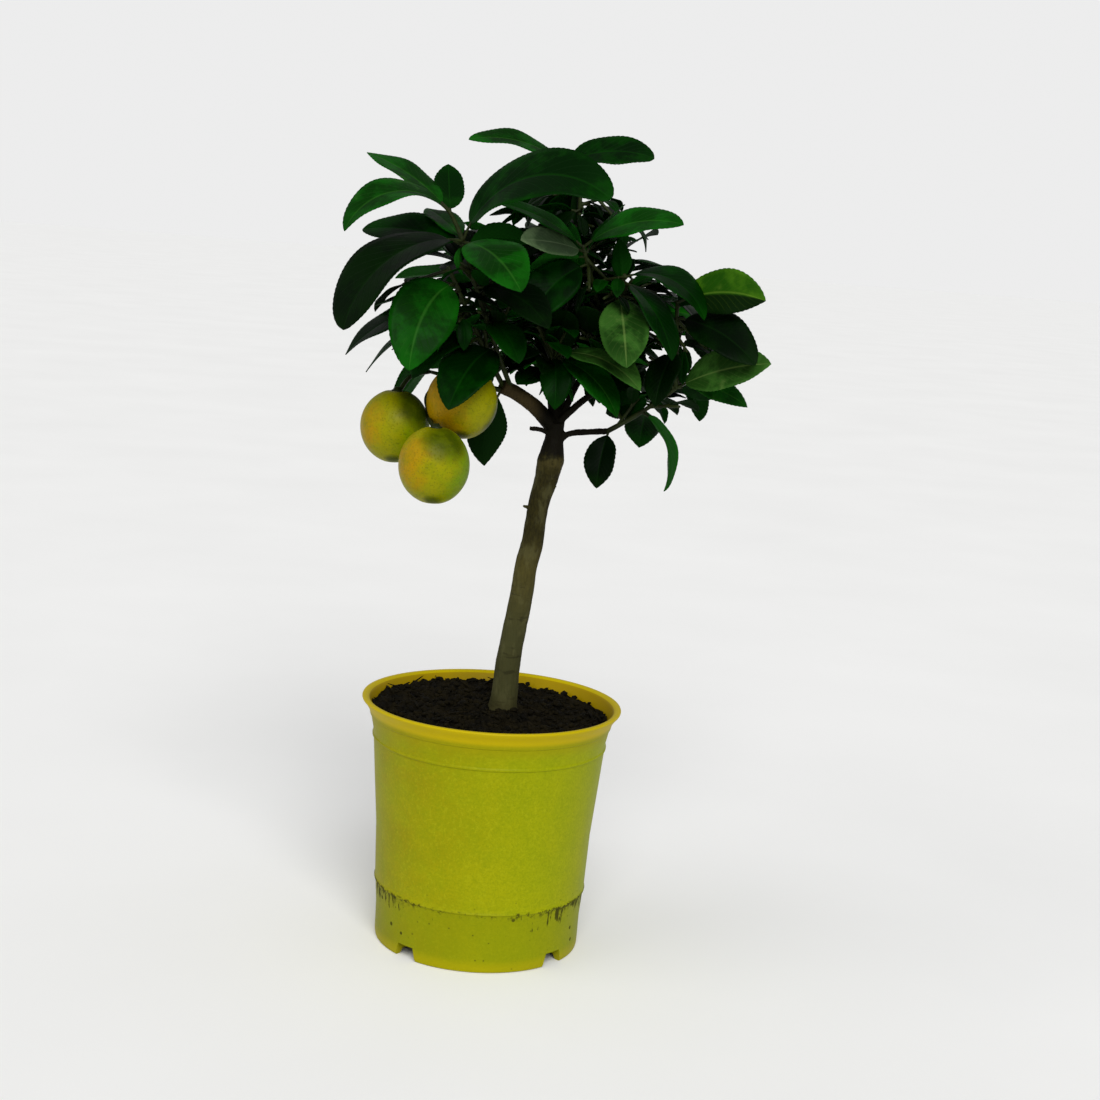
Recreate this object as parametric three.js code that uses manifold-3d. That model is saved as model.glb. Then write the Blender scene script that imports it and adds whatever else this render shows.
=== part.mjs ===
// Potted lemon tree: a young tree with three fruits in an olive plastic nursery pot.
// Millimetres, +Z up, origin on the pot's underside at its axis, front of the plant towards -Y.
import * as THREE from "three";
import { mergeVertices } from "three/addons/utils/BufferGeometryUtils.js";
import Module from "manifold-3d";

const wasm = await Module();
wasm.setup();

// Sizes that drive the rest
const CLEARANCE = 0.3;
const POT_SIDES = 48;
const SOIL_SIDES = 40;
const SOIL_TOP = 181;
const SOIL_FLAT_RADIUS = 26;
const SOIL_EDGE_TOP = 174;
const FLOOR_TOP = 13;
const NOTCH = { tall: 10.5, topWidth: 15, footWidth: 21, depth: 12, radius: 72, count: 4, heading: 50 };
const LEAF_HALF_THICKNESS = 0.75;
const LEAF_CUP = 0.08;
const LEAF_STATIONS = [0.1, 0.26, 0.5, 0.76, 1];
const PETIOLE_SHARE = 0.1;
const PETIOLE_RADIUS = 1.1;
const LEG_RADII = [2, 1.3];
const TWIG_RADII = [1.5, 1];
const TWIG_MARGIN = 0.8;
const LEAF_MARGIN = 1.6;
const TRIES = 8;
const GOLDEN_TURN = 137.5;
const FILL_WIDTH_SHARE = 0.44;
const FILL_BLUNT = 0.3;
const DEG = Math.PI / 180;

// Outer side of the pot from the foot to the rim, then the inner side down to the floor: [radius, height]
const POT_OUTER = [
  [0, 0], [30, 0], [34, NOTCH.tall], [71, NOTCH.tall], [74.5, 0], [78.3, 0], [79.4, 6], [79.6, 25],
  [81.2, 45], [82.3, 46.4], [81.8, 51], [83.3, 90], [86.8, 130], [89.2, 158.4], [90.2, 160.2],
  [89.8, 165], [92.2, 176], [94, 181], [99.6, 188.6], [99.2, 190.5],
];
const POT_INNER = [
  [96.6, 190.2], [93.6, 188], [90, 177], [87.4, 160], [81.3, 90], [77, FLOOR_TOP + 2], [75.5, FLOOR_TOP],
  [0, FLOOR_TOP],
];

// Limbs: points along the middle line and the radius at each
const TRUNK = [
  [8.4, 0, SOIL_TOP - 2, 13], [8.6, 0, 187, 10.8], [9.4, 0, 200, 9.9], [10, 0, 218, 9.5],
  [11.2, 0, 231, 9.1], [14.2, 0, 254, 8.8], [17, 0, 278, 8.6], [18.6, 0, 297, 8.4], [21.8, 0, 313, 8.3],
  [23.1, 0, 331, 7.8], [25, 0, 348, 7.8], [28, 0, 360, 8.4], [30.2, 0, 372, 9.4], [31.6, 0, 382, 9.2],
  [32.4, 0, 394, 7.8], [32.6, 0, 408, 7],
];
const BOUGHS = {
  left_bough: [[31, 0, 404, 6], [17, -3, 418, 5.6], [2, -8, 428, 5.3], [-9, -14.5, 433, 5.2]],
  centre_bough: [[33, 2, 405, 5], [30, 6, 423, 4.4], [29, 9, 438, 4.6]],
  back_bough: [[33, 2, 405, 5], [34, 20, 426, 4.6], [34, 41, 450, 5.6]],
  right_bough: [[34, 0, 407, 3], [50, -2, 424, 2.4], [63, -6, 435, 2.2]],
  lower_right_bough: [[34, 0, 393, 4.4], [44, -2, 400, 2.9], [59, -6, 403, 2.4], [72, -10, 405, 2.2]],
  pruned_stub: [[36, 3, 408, 2.8], [43, 6, 428, 2.3], [50, 10, 444, 2.2]],
};
const THORNS = [
  { at: [22, -3, 350], to: [8, -7, 356], radius: 2 },
  { at: [27, -2, 359], to: [40, -6, 363], radius: 2 },
];

// Each mass: start of its stem, legs as [parent address, heading, rise, length, arch] and set leaves as
// [address, heading, rise, length, arch, roll, width share, bluntness]. An address is a leg's number plus
// the share of its length. Angles are in degrees. The space is an ellipsoid that seeded twigs and leaves
// stay inside: its centre and half sizes.
const MASSES = {
  upper_left: {
    start: [-3, -14, 434],
    legs: [[null, -131, 60, 122, -8], [0.98, -158, 60, 24, 10]],
    leaves: [
      [1.9, -156, -13, 93, 112, -22, 0.38, 0.3],
      [1.98, 152, 27, 82, 28, -14, 0.36, 0.2],
      [1.9, 100, 46, 48, -10, 0, 0.48, 0.6],
      [1, -23, 18, 136, 110, 46, 0.36, 1],
      [0.98, -146, -36, 123, 84, -12, 0.46, 0.9],
      [0.97, -56, -20, 88, 44, 22, 0.46, 0.4],
      [0.95, 15, 6, 50, 50, -60, 0.45, 0],
      [0.95, 157, 4, 84, 30, -36, 0.4, 0.8],
      [0.8, 172, -12, 96, 84, -5, 0.34, 0],
      [0.98, 122, 20, 62, 20, -5, 0.42, 0],
      [0.68, -40, -18, 78, 56, 25, 0.42, 0.4],
      [0.45, -58, -27, 58, 54, 10, 0.46, 0.3],
      [0.27, -113, -30, 86, 54, -15, 0.46, 0.4],
    ],
    space: [[-35, 0, 505], [72, 78, 50]],
    fill: {
      seed: 31, leg: 0, twigs: 6, leaves: 3, along: [0.4, 0.95], heading: 110, rise: [0, 40],
      twigLength: [18, 30], leafLength: [50, 75],
    },
  },
  left: {
    start: [-8, -14, 433],
    legs: [[null, -137, 55, 88, -6], [0.95, -155, 60, 20, 0]],
    leaves: [
      [1.3, -116, -46, 92, 85, -35, 0.5, 0.5],
      [0.85, 176, -28, 98, 50, -22, 0.4, 0],
      [0.7, 166, -31, 94, 55, -15, 0.36, 0],
      [1, 154, -13, 72, 20, -15, 0.36, 0],
      [0.55, -141, -32, 66, 46, -8, 0.45, 0.3],
      [0.48, 148, -41, 108, 60, 0, 0.34, 0],
    ],
    space: [[-50, 5, 470], [72, 75, 52]],
    fill: {
      seed: 32, leg: 0, twigs: 7, leaves: 3, along: [0.35, 0.95], heading: 80, rise: [0, 40],
      twigLength: [18, 30], leafLength: [50, 75],
    },
  },
  top: {
    start: [30.5, 11.5, 437.5],
    legs: [[null, 10, 87, 153, -10], [0.97, -160, 40, 22, 20]],
    leaves: [
      [1.9, -164, 9, 76, 48, -30, 0.34, 0.7],
      [1.9, -6, 7, 69, 48, 44, 0.45, 1],
    ],
    space: [[30, 35, 540], [70, 77, 48]],
    fill: {
      seed: 33, leg: 0, twigs: 9, leaves: 4, along: [0.4, 0.9], heading: 60, rise: [-5, 35],
      twigLength: [20, 34], leafLength: [55, 80],
    },
  },
  upper_right: {
    start: [62.5, -5.8, 434.5],
    legs: [[null, 75, 72, 47, 0], [0.9, -120, 55, 80, 0], [0.9, -79, 46, 66, -10]],
    leaves: [
      [1.98, -20, 16, 80, 54, 36, 0.42, 0.5],
      [1.9, 40, 48, 52, 28, -25, 0.42, 0.3],
      [1.97, -172, 23, 72, 36, -26, 0.34, 0],
      [1.93, -138, 5, 62, 20, -45, 0.46, 0.4],
      [1.88, 177, -19, 46, 30, 40, 0.42, 0],
      [1.93, 49, -22, 30, 40, 35, 0.42, 0],
      [1.92, 120, 30, 46, 0, 80, 0.35, 0.3],
      [1.8, -148, -43, 64, 50, -50, 0.54, 0.5],
      [2.85, 120, 74, 34, 10, 120, 0.5, 0],
      [2.85, 60, 50, 24, 0, -20, 0.5, 0],
      [2.95, -19, -22, 76, 96, 20, 0.44, 0.3],
      [2.7, -84, -34, 86, 20, 12, 0.42, 0.6],
      [2.9, -45, -44, 78, 56, 0, 0.4, 0.4],
    ],
    space: [[72, 15, 496], [62, 78, 48]],
    fill: {
      seed: 34, leg: 0, twigs: 8, leaves: 3, along: [0.5, 1], heading: 40, rise: [0, 50],
      twigLength: [24, 40], leafLength: [50, 75],
    },
  },
  right: {
    start: [71.5, -9.8, 404.8],
    legs: [[null, -24, 36, 66, -10], [0.97, 170, 86, 64, 0]],
    leaves: [
      [1.9, 30, 48, 30, 10, 60, 0.52, 0],
      [1.97, -28, 6, 71, 46, 78, 0.48, 0.3],
      [1.8, -34, -22, 75, 44, 46, 0.46, 0.5],
      [0.98, -26, 19, 76, 26, 60, 0.46, 0.3],
      [1.1, 5, -17, 58, 36, 60, 0.36, 0],
      [0.99, 28, -8, 38, 17, 120, 0.5, 0],
      [1.5, 36, -20, 60, 45, 25, 0.42, 0],
      [0.93, 77, 60, 37, 0, -130, 0.45, 0],
      [1.45, -115, -52, 54, 56, 5, 0.5, 0],
      [0.03, -114, -70, 46, 40, -5, 0.54, 0.2],
      [0.48, -34, -66, 69, 96, -44, 0.46, 0],
      [0.62, 135, -14, 48, 43, -80, 0.5, 0.3],
      [0.55, 93, -44, 48, 36, -170, 0.55, 0],
    ],
    space: [[118, 20, 455], [66, 72, 50]],
    fill: {
      seed: 35, leg: 1, twigs: 8, leaves: 3, along: [0, 0.95], heading: 70, rise: [-10, 40],
      twigLength: [18, 30], leafLength: [45, 70],
    },
  },
  centre: {
    start: [27.5, 6.5, 436],
    legs: [[null, -88, 58, 27, 0]],
    leaves: [
      [0.9, -30, -34, 72, 60, 26, 0.4, 0],
      [0.97, -39, -12, 88, 58, 14, 0.4, 0],
      [0.98, -80, -63, 46, 66, 10, 0.52, 0],
      [0.4, -134, -14, 38, 29, -20, 0.64, 0.4],
    ],
    space: [[35, 0, 465], [70, 62, 48]],
    fill: {
      seed: 36, leg: 0, twigs: 6, leaves: 3, along: [0.2, 1], heading: 150, rise: [20, 60],
      twigLength: [16, 28], leafLength: [45, 65],
    },
  },
  truss: {
    start: [-7, -14.5, 429.5],
    legs: [[null, 176, 10, 58, 0]],
    leaves: [
      [0.04, 150, -80, 60, 40, 60, 0.5, 0],
    ],
  },
  back_left: {
    start: [30, 39.5, 447.5],
    legs: [[null, 137, 52, 92, -6]],
    leaves: [],
    space: [[-20, 68, 482], [94, 98, 72]],
    fill: {
      seed: 21, leg: 0, twigs: 13, leaves: 4, along: [0.2, 1], heading: 60, rise: [0, 50],
      twigLength: [22, 44], leafLength: [65, 98],
    },
  },
  back_right: {
    start: [38, 39, 447],
    legs: [[null, 42, 42, 86, -6]],
    leaves: [],
    space: [[92, 66, 460], [90, 96, 64]],
    fill: {
      seed: 22, leg: 0, twigs: 13, leaves: 4, along: [0.2, 1], heading: 20, rise: [-5, 45],
      twigLength: [22, 42], leafLength: [62, 92],
    },
  },
  back_top: {
    start: [34, 41, 450],
    legs: [[null, 85, 70, 96, -4]],
    leaves: [],
    space: [[38, 75, 528], [92, 94, 58]],
    fill: {
      seed: 23, leg: 0, twigs: 12, leaves: 4, along: [0.4, 1], heading: 100, rise: [0, 45],
      twigLength: [22, 40], leafLength: [62, 92],
    },
  },
};

// Fruits hang from the truss: [x, y, z] of the middle, radius and half height
const FRUITS = [
  { middle: [-84.7, -32, 399.4], radius: 25.5, halfHeight: 27 },
  { middle: [-51.4, -76, 378.4], radius: 25.5, halfHeight: 28 },
  { middle: [-36.1, -44, 421.8], radius: 26, halfHeight: 27 },
];
const STALKS = [
  { address: 0.98, path: [[-76, -22, 436], [-84, -31, 424]] },
  { address: 0.8, path: [[-62, -34, 434], [-64, -52, 418], [-56, -70, 405], [-52, -76, 401]] },
  { address: 0.4, path: [[-34, -26, 448], [-36, -42, 447]] },
];
const STALK_RADIUS = 1.6;

// Colours
const COLOURS = {
  pot: 0x8f8f14,
  soil: 0x1f1a14,
  bark: 0x45432a,
  leaf: 0x16350f,
  fruit: 0x9c9410,
};

// A direction from a heading and a rise in degrees
function polar(heading, rise) {
  const flat = Math.cos(rise * DEG);
  return [flat * Math.cos(heading * DEG), flat * Math.sin(heading * DEG), Math.sin(rise * DEG)];
}

const add = (a, b, k = 1) => [a[0] + b[0] * k, a[1] + b[1] * k, a[2] + b[2] * k];
const cross = (a, b) => [a[1] * b[2] - a[2] * b[1], a[2] * b[0] - a[0] * b[2], a[0] * b[1] - a[1] * b[0]];
const dot = (a, b) => a[0] * b[0] + a[1] * b[1] + a[2] * b[2];
const unit = (a) => {
  const size = Math.sqrt(dot(a, a));
  return size > 1e-6 ? [a[0] / size, a[1] / size, a[2] / size] : [1, 0, 0];
};

// A point of an arc that leaves at rise + arch / 2 and ends at rise - arch / 2
function arcPoint(arc, share) {
  const half = (arc.arch * DEG * share) / 2;
  const chord = Math.abs(half) > 1e-6 ? Math.sin(half) / half : 1;
  const way = polar(arc.heading, arc.rise + (arc.arch * (1 - share)) / 2);
  return add(arc.start, way, arc.length * share * chord);
}

// Directions along, to the left of and up from an arc
function arcFrame(arc, share) {
  const along = polar(arc.heading, arc.rise + arc.arch * (0.5 - share));
  const level = [-Math.sin(arc.heading * DEG), Math.cos(arc.heading * DEG), 0];
  const upward = cross(along, level);
  const turn = (arc.roll || 0) * DEG;
  const side = add([level[0] * Math.cos(turn), level[1] * Math.cos(turn), 0], upward, Math.sin(turn));
  return { along, side, face: cross(along, side) };
}

// Half width of a leaf blade as a share of its greatest half width
function blade(share, blunt) {
  if (share <= PETIOLE_SHARE) return 0;
  const v = Math.pow((share - PETIOLE_SHARE) / (1 - PETIOLE_SHARE), 0.92);
  return Math.pow(Math.max(4 * v * (1 - v), 0), 0.9 - 0.35 * blunt);
}

// Seeded numbers between 0 and 1
function seeded(seed) {
  let state = seed >>> 0;
  return () => {
    state = (Math.imul(state, 1664525) + 1013904223) >>> 0;
    return state / 4294967296;
  };
}

// A three-sided tube as triangles and edges, for the clash test
function prism(points, radii) {
  const rings = points.map((point, i) => {
    const before = points[Math.max(i - 1, 0)];
    const after = points[Math.min(i + 1, points.length - 1)];
    const along = unit(add(after, before, -1));
    const across = unit(cross(along, [0, 0, 1]));
    const other = cross(along, across);
    return [0, 1, 2].map((k) => {
      const turn = (k * 2 * Math.PI) / 3;
      return add(add(point, across, radii[i] * Math.cos(turn)), other, radii[i] * Math.sin(turn));
    });
  });
  const tris = [];
  const edges = [];
  rings.forEach((ring, i) => {
    for (let k = 0; k < 3; k++) {
      const next = (k + 1) % 3;
      edges.push([ring[k], ring[next]]);
      if (!i) continue;
      tris.push([rings[i - 1][k], rings[i - 1][next], ring[next]], [rings[i - 1][k], ring[next], ring[k]]);
      edges.push([rings[i - 1][k], ring[k]]);
    }
  });
  return { tris, edges };
}

// A coarse ball as triangles and edges
function ballShape(middle, radius, halfHeight) {
  const rings = [];
  for (let i = 1; i < 6; i++) {
    const down = (Math.PI * i) / 6;
    rings.push(
      Array.from({ length: 12 }, (_, k) => {
        const turn = (k * 2 * Math.PI) / 12;
        const out = radius * Math.sin(down);
        return add(middle, [out * Math.cos(turn), out * Math.sin(turn), halfHeight * Math.cos(down)]);
      }),
    );
  }
  const top = add(middle, [0, 0, halfHeight]);
  const foot = add(middle, [0, 0, -halfHeight]);
  const tris = [];
  const edges = [];
  for (let k = 0; k < 12; k++) {
    const next = (k + 1) % 12;
    tris.push([top, rings[0][k], rings[0][next]], [foot, rings[4][k], rings[4][next]]);
    edges.push([top, rings[0][k]], [foot, rings[4][k]]);
    for (let i = 0; i < 5; i++) {
      edges.push([rings[i][k], rings[i][next]]);
      if (!i) continue;
      tris.push([rings[i - 1][k], rings[i - 1][next], rings[i][next]]);
      tris.push([rings[i - 1][k], rings[i][next], rings[i][k]]);
      edges.push([rings[i - 1][k], rings[i][k]]);
    }
  }
  return { tris, edges };
}

// A leaf's middle surface as triangles and edges
function leafShape(leaf) {
  const rows = LEAF_STATIONS.map((share) => {
    const middle = arcPoint(leaf, share);
    const { side, face } = arcFrame(leaf, share);
    const half = (leaf.width / 2) * blade(share, leaf.blunt);
    const lift = add(middle, face, LEAF_CUP * half);
    return [add(lift, side, half), middle, add(lift, side, -half)];
  });
  const tris = [];
  const edges = [];
  rows.forEach((row, i) => {
    if (i) {
      const last = rows[i - 1];
      for (let j = 0; j < 2; j++) {
        tris.push([last[j], last[j + 1], row[j + 1]], [last[j], row[j + 1], row[j]]);
      }
      for (let j = 0; j < 3; j++) edges.push([last[j], row[j]]);
    }
    edges.push([row[0], row[1]], [row[1], row[2]]);
  });
  return { tris, edges };
}

// True where an edge passes through a triangle
function pierces(tri, edge) {
  const [a, b, c] = tri;
  const way = add(edge[1], edge[0], -1);
  const e1 = add(b, a, -1);
  const e2 = add(c, a, -1);
  const p = cross(way, e2);
  const det = dot(e1, p);
  if (Math.abs(det) <= 1e-9) return false;
  const from = add(edge[0], a, -1);
  const u = dot(from, p) / det;
  if (u < 0 || u > 1) return false;
  const q = cross(from, e1);
  const v = dot(way, q) / det;
  if (v < 0 || u + v > 1) return false;
  const t = dot(e2, q) / det;
  return t >= 0 && t <= 1;
}

const crossed = (one, two) => one.tris.some((tri) => two.edges.some((edge) => pierces(tri, edge)));

function body(kind, mass, surface, layers) {
  const points = surface.tris.flat();
  const low = [0, 1, 2].map((i) => Math.min(...points.map((p) => p[i])) - 2);
  const high = [0, 1, 2].map((i) => Math.max(...points.map((p) => p[i])) + 2);
  return { kind, mass, surface, layers: layers || [surface], points, low, high };
}

function leafBody(leaf) {
  const surface = leafShape(leaf);
  const { face } = arcFrame(leaf, 0.55);
  const moved = (k) => ({
    tris: surface.tris.map((tri) => tri.map((p) => add(p, face, k))),
    edges: surface.edges.map((edge) => edge.map((p) => add(p, face, k))),
  });
  return body("leaf", leaf.mass, surface, [surface, moved(LEAF_MARGIN), moved(-LEAF_MARGIN)]);
}

function twigBody(mass, arc, radii) {
  const shares = [0, 0.25, 0.5, 0.75, 1];
  const points = shares.map((share) => arcPoint(arc, share));
  const sizes = shares.map((share) => radii[0] + (radii[1] - radii[0]) * share + TWIG_MARGIN);
  return body("twig", mass, prism(points, sizes));
}

function clash(one, two) {
  for (let i = 0; i < 3; i++) {
    if (one.low[i] > two.high[i] || two.low[i] > one.high[i]) return false;
  }
  const swap = one.kind === "leaf" && two.kind !== "leaf";
  const still = swap ? two : one;
  const layered = swap ? one : two;
  return layered.layers.some((layer) => crossed(still.surface, layer) || crossed(layer, still.surface));
}

function inside(points, space) {
  const [middle, sizes] = space;
  return points.every((p) => [0, 1, 2].reduce((sum, i) => sum + ((p[i] - middle[i]) / sizes[i]) ** 2, 0) <= 1);
}

const between = (range, share) => range[0] + (range[1] - range[0]) * share;

function legsOf(mass) {
  const legs = [];
  mass.legs.forEach(([address, heading, rise, length, arch]) => {
    const parent = address === null ? null : Math.floor(address);
    const start = parent === null ? mass.start : arcPoint(legs[parent], address - parent);
    legs.push({ start, heading, rise, length, arch });
  });
  return legs;
}

// Seeded twigs and leaves of a mass: what would leave the space or touch another piece is skipped
function fillMass(name, mass, grown, taken) {
  const rule = mass.fill;
  const stem = grown.legs[rule.leg];
  for (let i = 0; i < rule.twigs; i++) {
    const draw = seeded(rule.seed * 1009 + i * 97);
    draw();
    const start = arcPoint(stem, Math.min(between(rule.along, (i + 0.5) / rule.twigs), 0.98));
    let twig = null;
    let twigShape = null;
    for (let k = 0; k < TRIES && !twig; k++) {
      const r = [draw(), draw(), draw(), draw()];
      const trial = {
        start,
        heading: rule.heading + i * GOLDEN_TURN + 60 * (r[0] - 0.5),
        rise: between(rule.rise, r[1]),
        length: between(rule.twigLength, r[2]),
        arch: 15 * (r[3] - 0.3),
      };
      const shape = twigBody(name, trial, TWIG_RADII);
      if (!inside(shape.points.slice(-1), mass.space)) continue;
      if (taken.some((o) => (o.kind !== "twig" || o.mass !== name) && clash(shape, o))) continue;
      twig = trial;
      twigShape = shape;
    }
    if (!twig) continue;
    taken.push(twigShape);
    const before = grown.leaves.length;
    for (let j = 0; j < rule.leaves; j++) {
      const last = j === rule.leaves - 1;
      const base = arcPoint(twig, last ? 0.98 : 0.35 + (0.6 * j) / (rule.leaves - 1));
      for (let k = 0; k < TRIES; k++) {
        const q = [draw(), draw(), draw(), draw(), draw(), draw()];
        const turn = last ? 0 : (55 + 30 * q[0]) * (j % 2 ? 1 : -1);
        const length = between(rule.leafLength, q[3]);
        const leaf = {
          mass: name,
          start: base,
          heading: twig.heading + turn + 60 * (q[1] - 0.5),
          rise: twig.rise - 60 * q[2],
          length,
          arch: 20 + 55 * q[4],
          roll: 60 * (q[5] - 0.5),
          width: length * FILL_WIDTH_SHARE,
          blunt: FILL_BLUNT,
        };
        const shape = leafBody(leaf);
        if (!inside(shape.points, mass.space)) continue;
        if (taken.some((o) => o !== twigShape && clash(shape, o))) continue;
        taken.push(shape);
        grown.leaves.push(leaf);
        break;
      }
    }
    if (grown.leaves.length > before) grown.twigs.push(twig);
    else taken.splice(taken.indexOf(twigShape), 1);
  }
}

function growPlant() {
  const taken = [];
  const limbs = { trunk: TRUNK, ...BOUGHS };
  Object.entries(limbs).forEach(([name, points]) => {
    const middles = points.map((p) => p.slice(0, 3));
    taken.push(body("limb", name, prism(middles, points.map((p) => p[3] + TWIG_MARGIN))));
  });
  FRUITS.forEach((fruit) => {
    const shape = ballShape(fruit.middle, fruit.radius + 1, fruit.halfHeight + 1);
    taken.push(body("fruit", "truss", shape));
  });
  const plant = {};
  Object.entries(MASSES).forEach(([name, mass]) => {
    const legs = legsOf(mass);
    const grown = { legs, twigs: [], leaves: [] };
    legs.forEach((leg) => taken.push(twigBody(name, leg, LEG_RADII)));
    mass.leaves.forEach(([address, heading, rise, length, arch, roll, share, blunt]) => {
      const parent = Math.floor(address);
      const start = arcPoint(legs[parent], address - parent);
      const leaf = { mass: name, start, heading, rise, length, arch, roll, width: length * share, blunt };
      grown.leaves.push(leaf);
      taken.push(leafBody(leaf));
    });
    plant[name] = grown;
  });
  Object.entries(MASSES).forEach(([name, mass]) => {
    if (mass.fill) fillMass(name, mass, plant[name], taken);
  });
  return plant;
}

// A closed solid from a three.js geometry
function solidOf(geometry) {
  const plain = geometry.clone();
  plain.deleteAttribute("normal");
  plain.deleteAttribute("uv");
  const merged = mergeVertices(plain, 1e-4);
  return new wasm.Manifold(
    new wasm.Mesh({
      numProp: 3,
      vertProperties: Float32Array.from(merged.attributes.position.array),
      triVerts: Uint32Array.from(merged.index.array),
    }),
  );
}

// Moves the vertices of a cylinder of unit radius: place(share along, x, z) gives each new point
function mapped(geometry, rows, place) {
  const position = geometry.attributes.position;
  for (let i = 0; i < position.count; i++) {
    const row = Math.round((position.getY(i) + 0.5) * rows);
    const x = position.getX(i);
    const z = position.getZ(i);
    position.setXYZ(i, ...place(row, x, z));
  }
  return geometry;
}

// A round limb along points of [x, y, z, radius]
function limbSolid(points, sides, steps, grow = 0) {
  const curve = new THREE.CatmullRomCurve3(points.map((p) => new THREE.Vector3(...p.slice(0, 3))));
  const radiusAt = (share) => {
    const at = share * (points.length - 1);
    const i = Math.min(Math.floor(at), points.length - 2);
    return points[i][3] + (points[i + 1][3] - points[i][3]) * (at - i) + grow;
  };
  const geometry = mapped(new THREE.CylinderGeometry(1, 1, 1, sides, steps), steps, (row, x, z) => {
    const middle = curve.getPoint(row / steps).toArray();
    const along = curve.getTangent(row / steps).toArray();
    const across = unit(cross([0, 1, 0], along));
    const other = cross(across, along);
    const radius = radiusAt(row / steps);
    return add(add(middle, across, x * radius), other, z * radius);
  });
  return solidOf(geometry);
}

function twigSolid(arc, radii, sides, steps) {
  const geometry = mapped(new THREE.CylinderGeometry(1, 1, 1, sides, steps), steps, (row, x, z) => {
    const share = row / steps;
    const radius = radii[0] + (radii[1] - radii[0]) * share;
    const { side, face } = arcFrame(arc, share);
    return add(add(arcPoint(arc, share), side, -x * radius), face, z * radius);
  });
  return solidOf(geometry);
}

// A leaf with its stalk: a flat diamond in section, thickest along the midrib
function leafSolid(leaf) {
  const stations = [0, ...LEAF_STATIONS];
  const rows = stations.length - 1;
  const geometry = mapped(new THREE.CylinderGeometry(0, 1, 1, 4, rows), rows, (row, x, z) => {
    const share = stations[row];
    const middle = arcPoint(leaf, share);
    if (row === rows) return middle;
    const size = 1 - row / rows;
    const across = x / size;
    const through = z / size;
    const { side, face } = arcFrame(leaf, share);
    const half = Math.max((leaf.width / 2) * blade(share, leaf.blunt), PETIOLE_RADIUS);
    const thick = row < 2 ? PETIOLE_RADIUS : LEAF_HALF_THICKNESS;
    const lift = Math.abs(across) * LEAF_CUP * (row < 2 ? 0 : half) + through * thick;
    return add(add(middle, side, -across * half), face, lift);
  });
  return solidOf(geometry);
}

const largest = (solid) => solid.decompose().sort((a, b) => b.volume() - a.volume())[0];

function latheSolid(profile, segments) {
  const geometry = new THREE.LatheGeometry(profile.map(([r, z]) => new THREE.Vector2(r, z)), segments);
  geometry.rotateX(Math.PI / 2);
  return solidOf(geometry);
}

function notchSolid(turn) {
  const shape = new THREE.Shape();
  shape.moveTo(-NOTCH.footWidth / 2, -1);
  shape.lineTo(NOTCH.footWidth / 2, -1);
  shape.lineTo(NOTCH.topWidth / 2, NOTCH.tall);
  shape.lineTo(-NOTCH.topWidth / 2, NOTCH.tall);
  const geometry = new THREE.ExtrudeGeometry(shape, { depth: NOTCH.depth, bevelEnabled: false });
  geometry.rotateX(Math.PI / 2);
  geometry.rotateZ(Math.PI / 2);
  geometry.translate(NOTCH.radius, 0, 0);
  geometry.rotateZ(turn * DEG);
  return solidOf(geometry);
}

function potSolid() {
  let pot = latheSolid([...POT_OUTER, ...POT_INNER], POT_SIDES);
  for (let i = 0; i < NOTCH.count; i++) {
    pot = pot.subtract(notchSolid(NOTCH.heading + (i * 360) / NOTCH.count));
  }
  return pot;
}

// Soil stands clear of the pot's inner side and is flat around the trunk
function soilSolid() {
  const side = POT_INNER.filter(([, z]) => z < SOIL_EDGE_TOP && z > FLOOR_TOP)
    .map(([r, z]) => [r - 2 * CLEARANCE, z])
    .reverse();
  const floor = FLOOR_TOP + CLEARANCE;
  return latheSolid(
    [[0, floor], [74.6, floor], ...side, [88.6, SOIL_EDGE_TOP], [60, 177.5], [SOIL_FLAT_RADIUS, SOIL_TOP], [0, SOIL_TOP]],
    SOIL_SIDES,
  );
}

function trunkSolid(grow = 0) {
  let trunk = limbSolid(TRUNK, 14, 18, grow);
  THORNS.forEach(({ at, to, radius }) => {
    trunk = trunk.add(limbSolid([[...at, radius], [...to, 0.7]], 8, 1, grow));
  });
  const soilLevel = SOIL_TOP + CLEARANCE;
  const below = latheSolid([[0, soilLevel - 20], [60, soilLevel - 20], [60, soilLevel], [0, soilLevel]], 12);
  return trunk.subtract(below);
}

function fruitTruss(grown) {
  const legs = grown.legs;
  let truss = twigSolid(legs[0], LEG_RADII, 6, 4);
  grown.leaves.forEach((leaf) => {
    truss = truss.add(leafSolid(leaf));
  });
  FRUITS.forEach(({ middle, radius, halfHeight }, i) => {
    const ball = new THREE.SphereGeometry(1, 16, 11);
    ball.rotateX(Math.PI / 2);
    ball.scale(radius, radius, halfHeight);
    ball.translate(...middle);
    const from = arcPoint(legs[0], STALKS[i].address);
    const path = [from, ...STALKS[i].path].map((p) => [...p, STALK_RADIUS]);
    truss = truss.add(solidOf(ball)).add(limbSolid(path, 5, 6));
  });
  return truss;
}

function massSolid(grown) {
  const legs = grown.legs.map((leg) => twigSolid(leg, LEG_RADII, 5, 3));
  const twigs = grown.twigs.map((twig) => twigSolid(twig, TWIG_RADII, 3, 2));
  const leaves = grown.leaves.map(leafSolid);
  return [...legs, ...twigs, ...leaves].reduce((whole, piece) => whole.add(piece));
}

const group = new THREE.Group();
group.name = "potted_lemon_tree";

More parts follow.
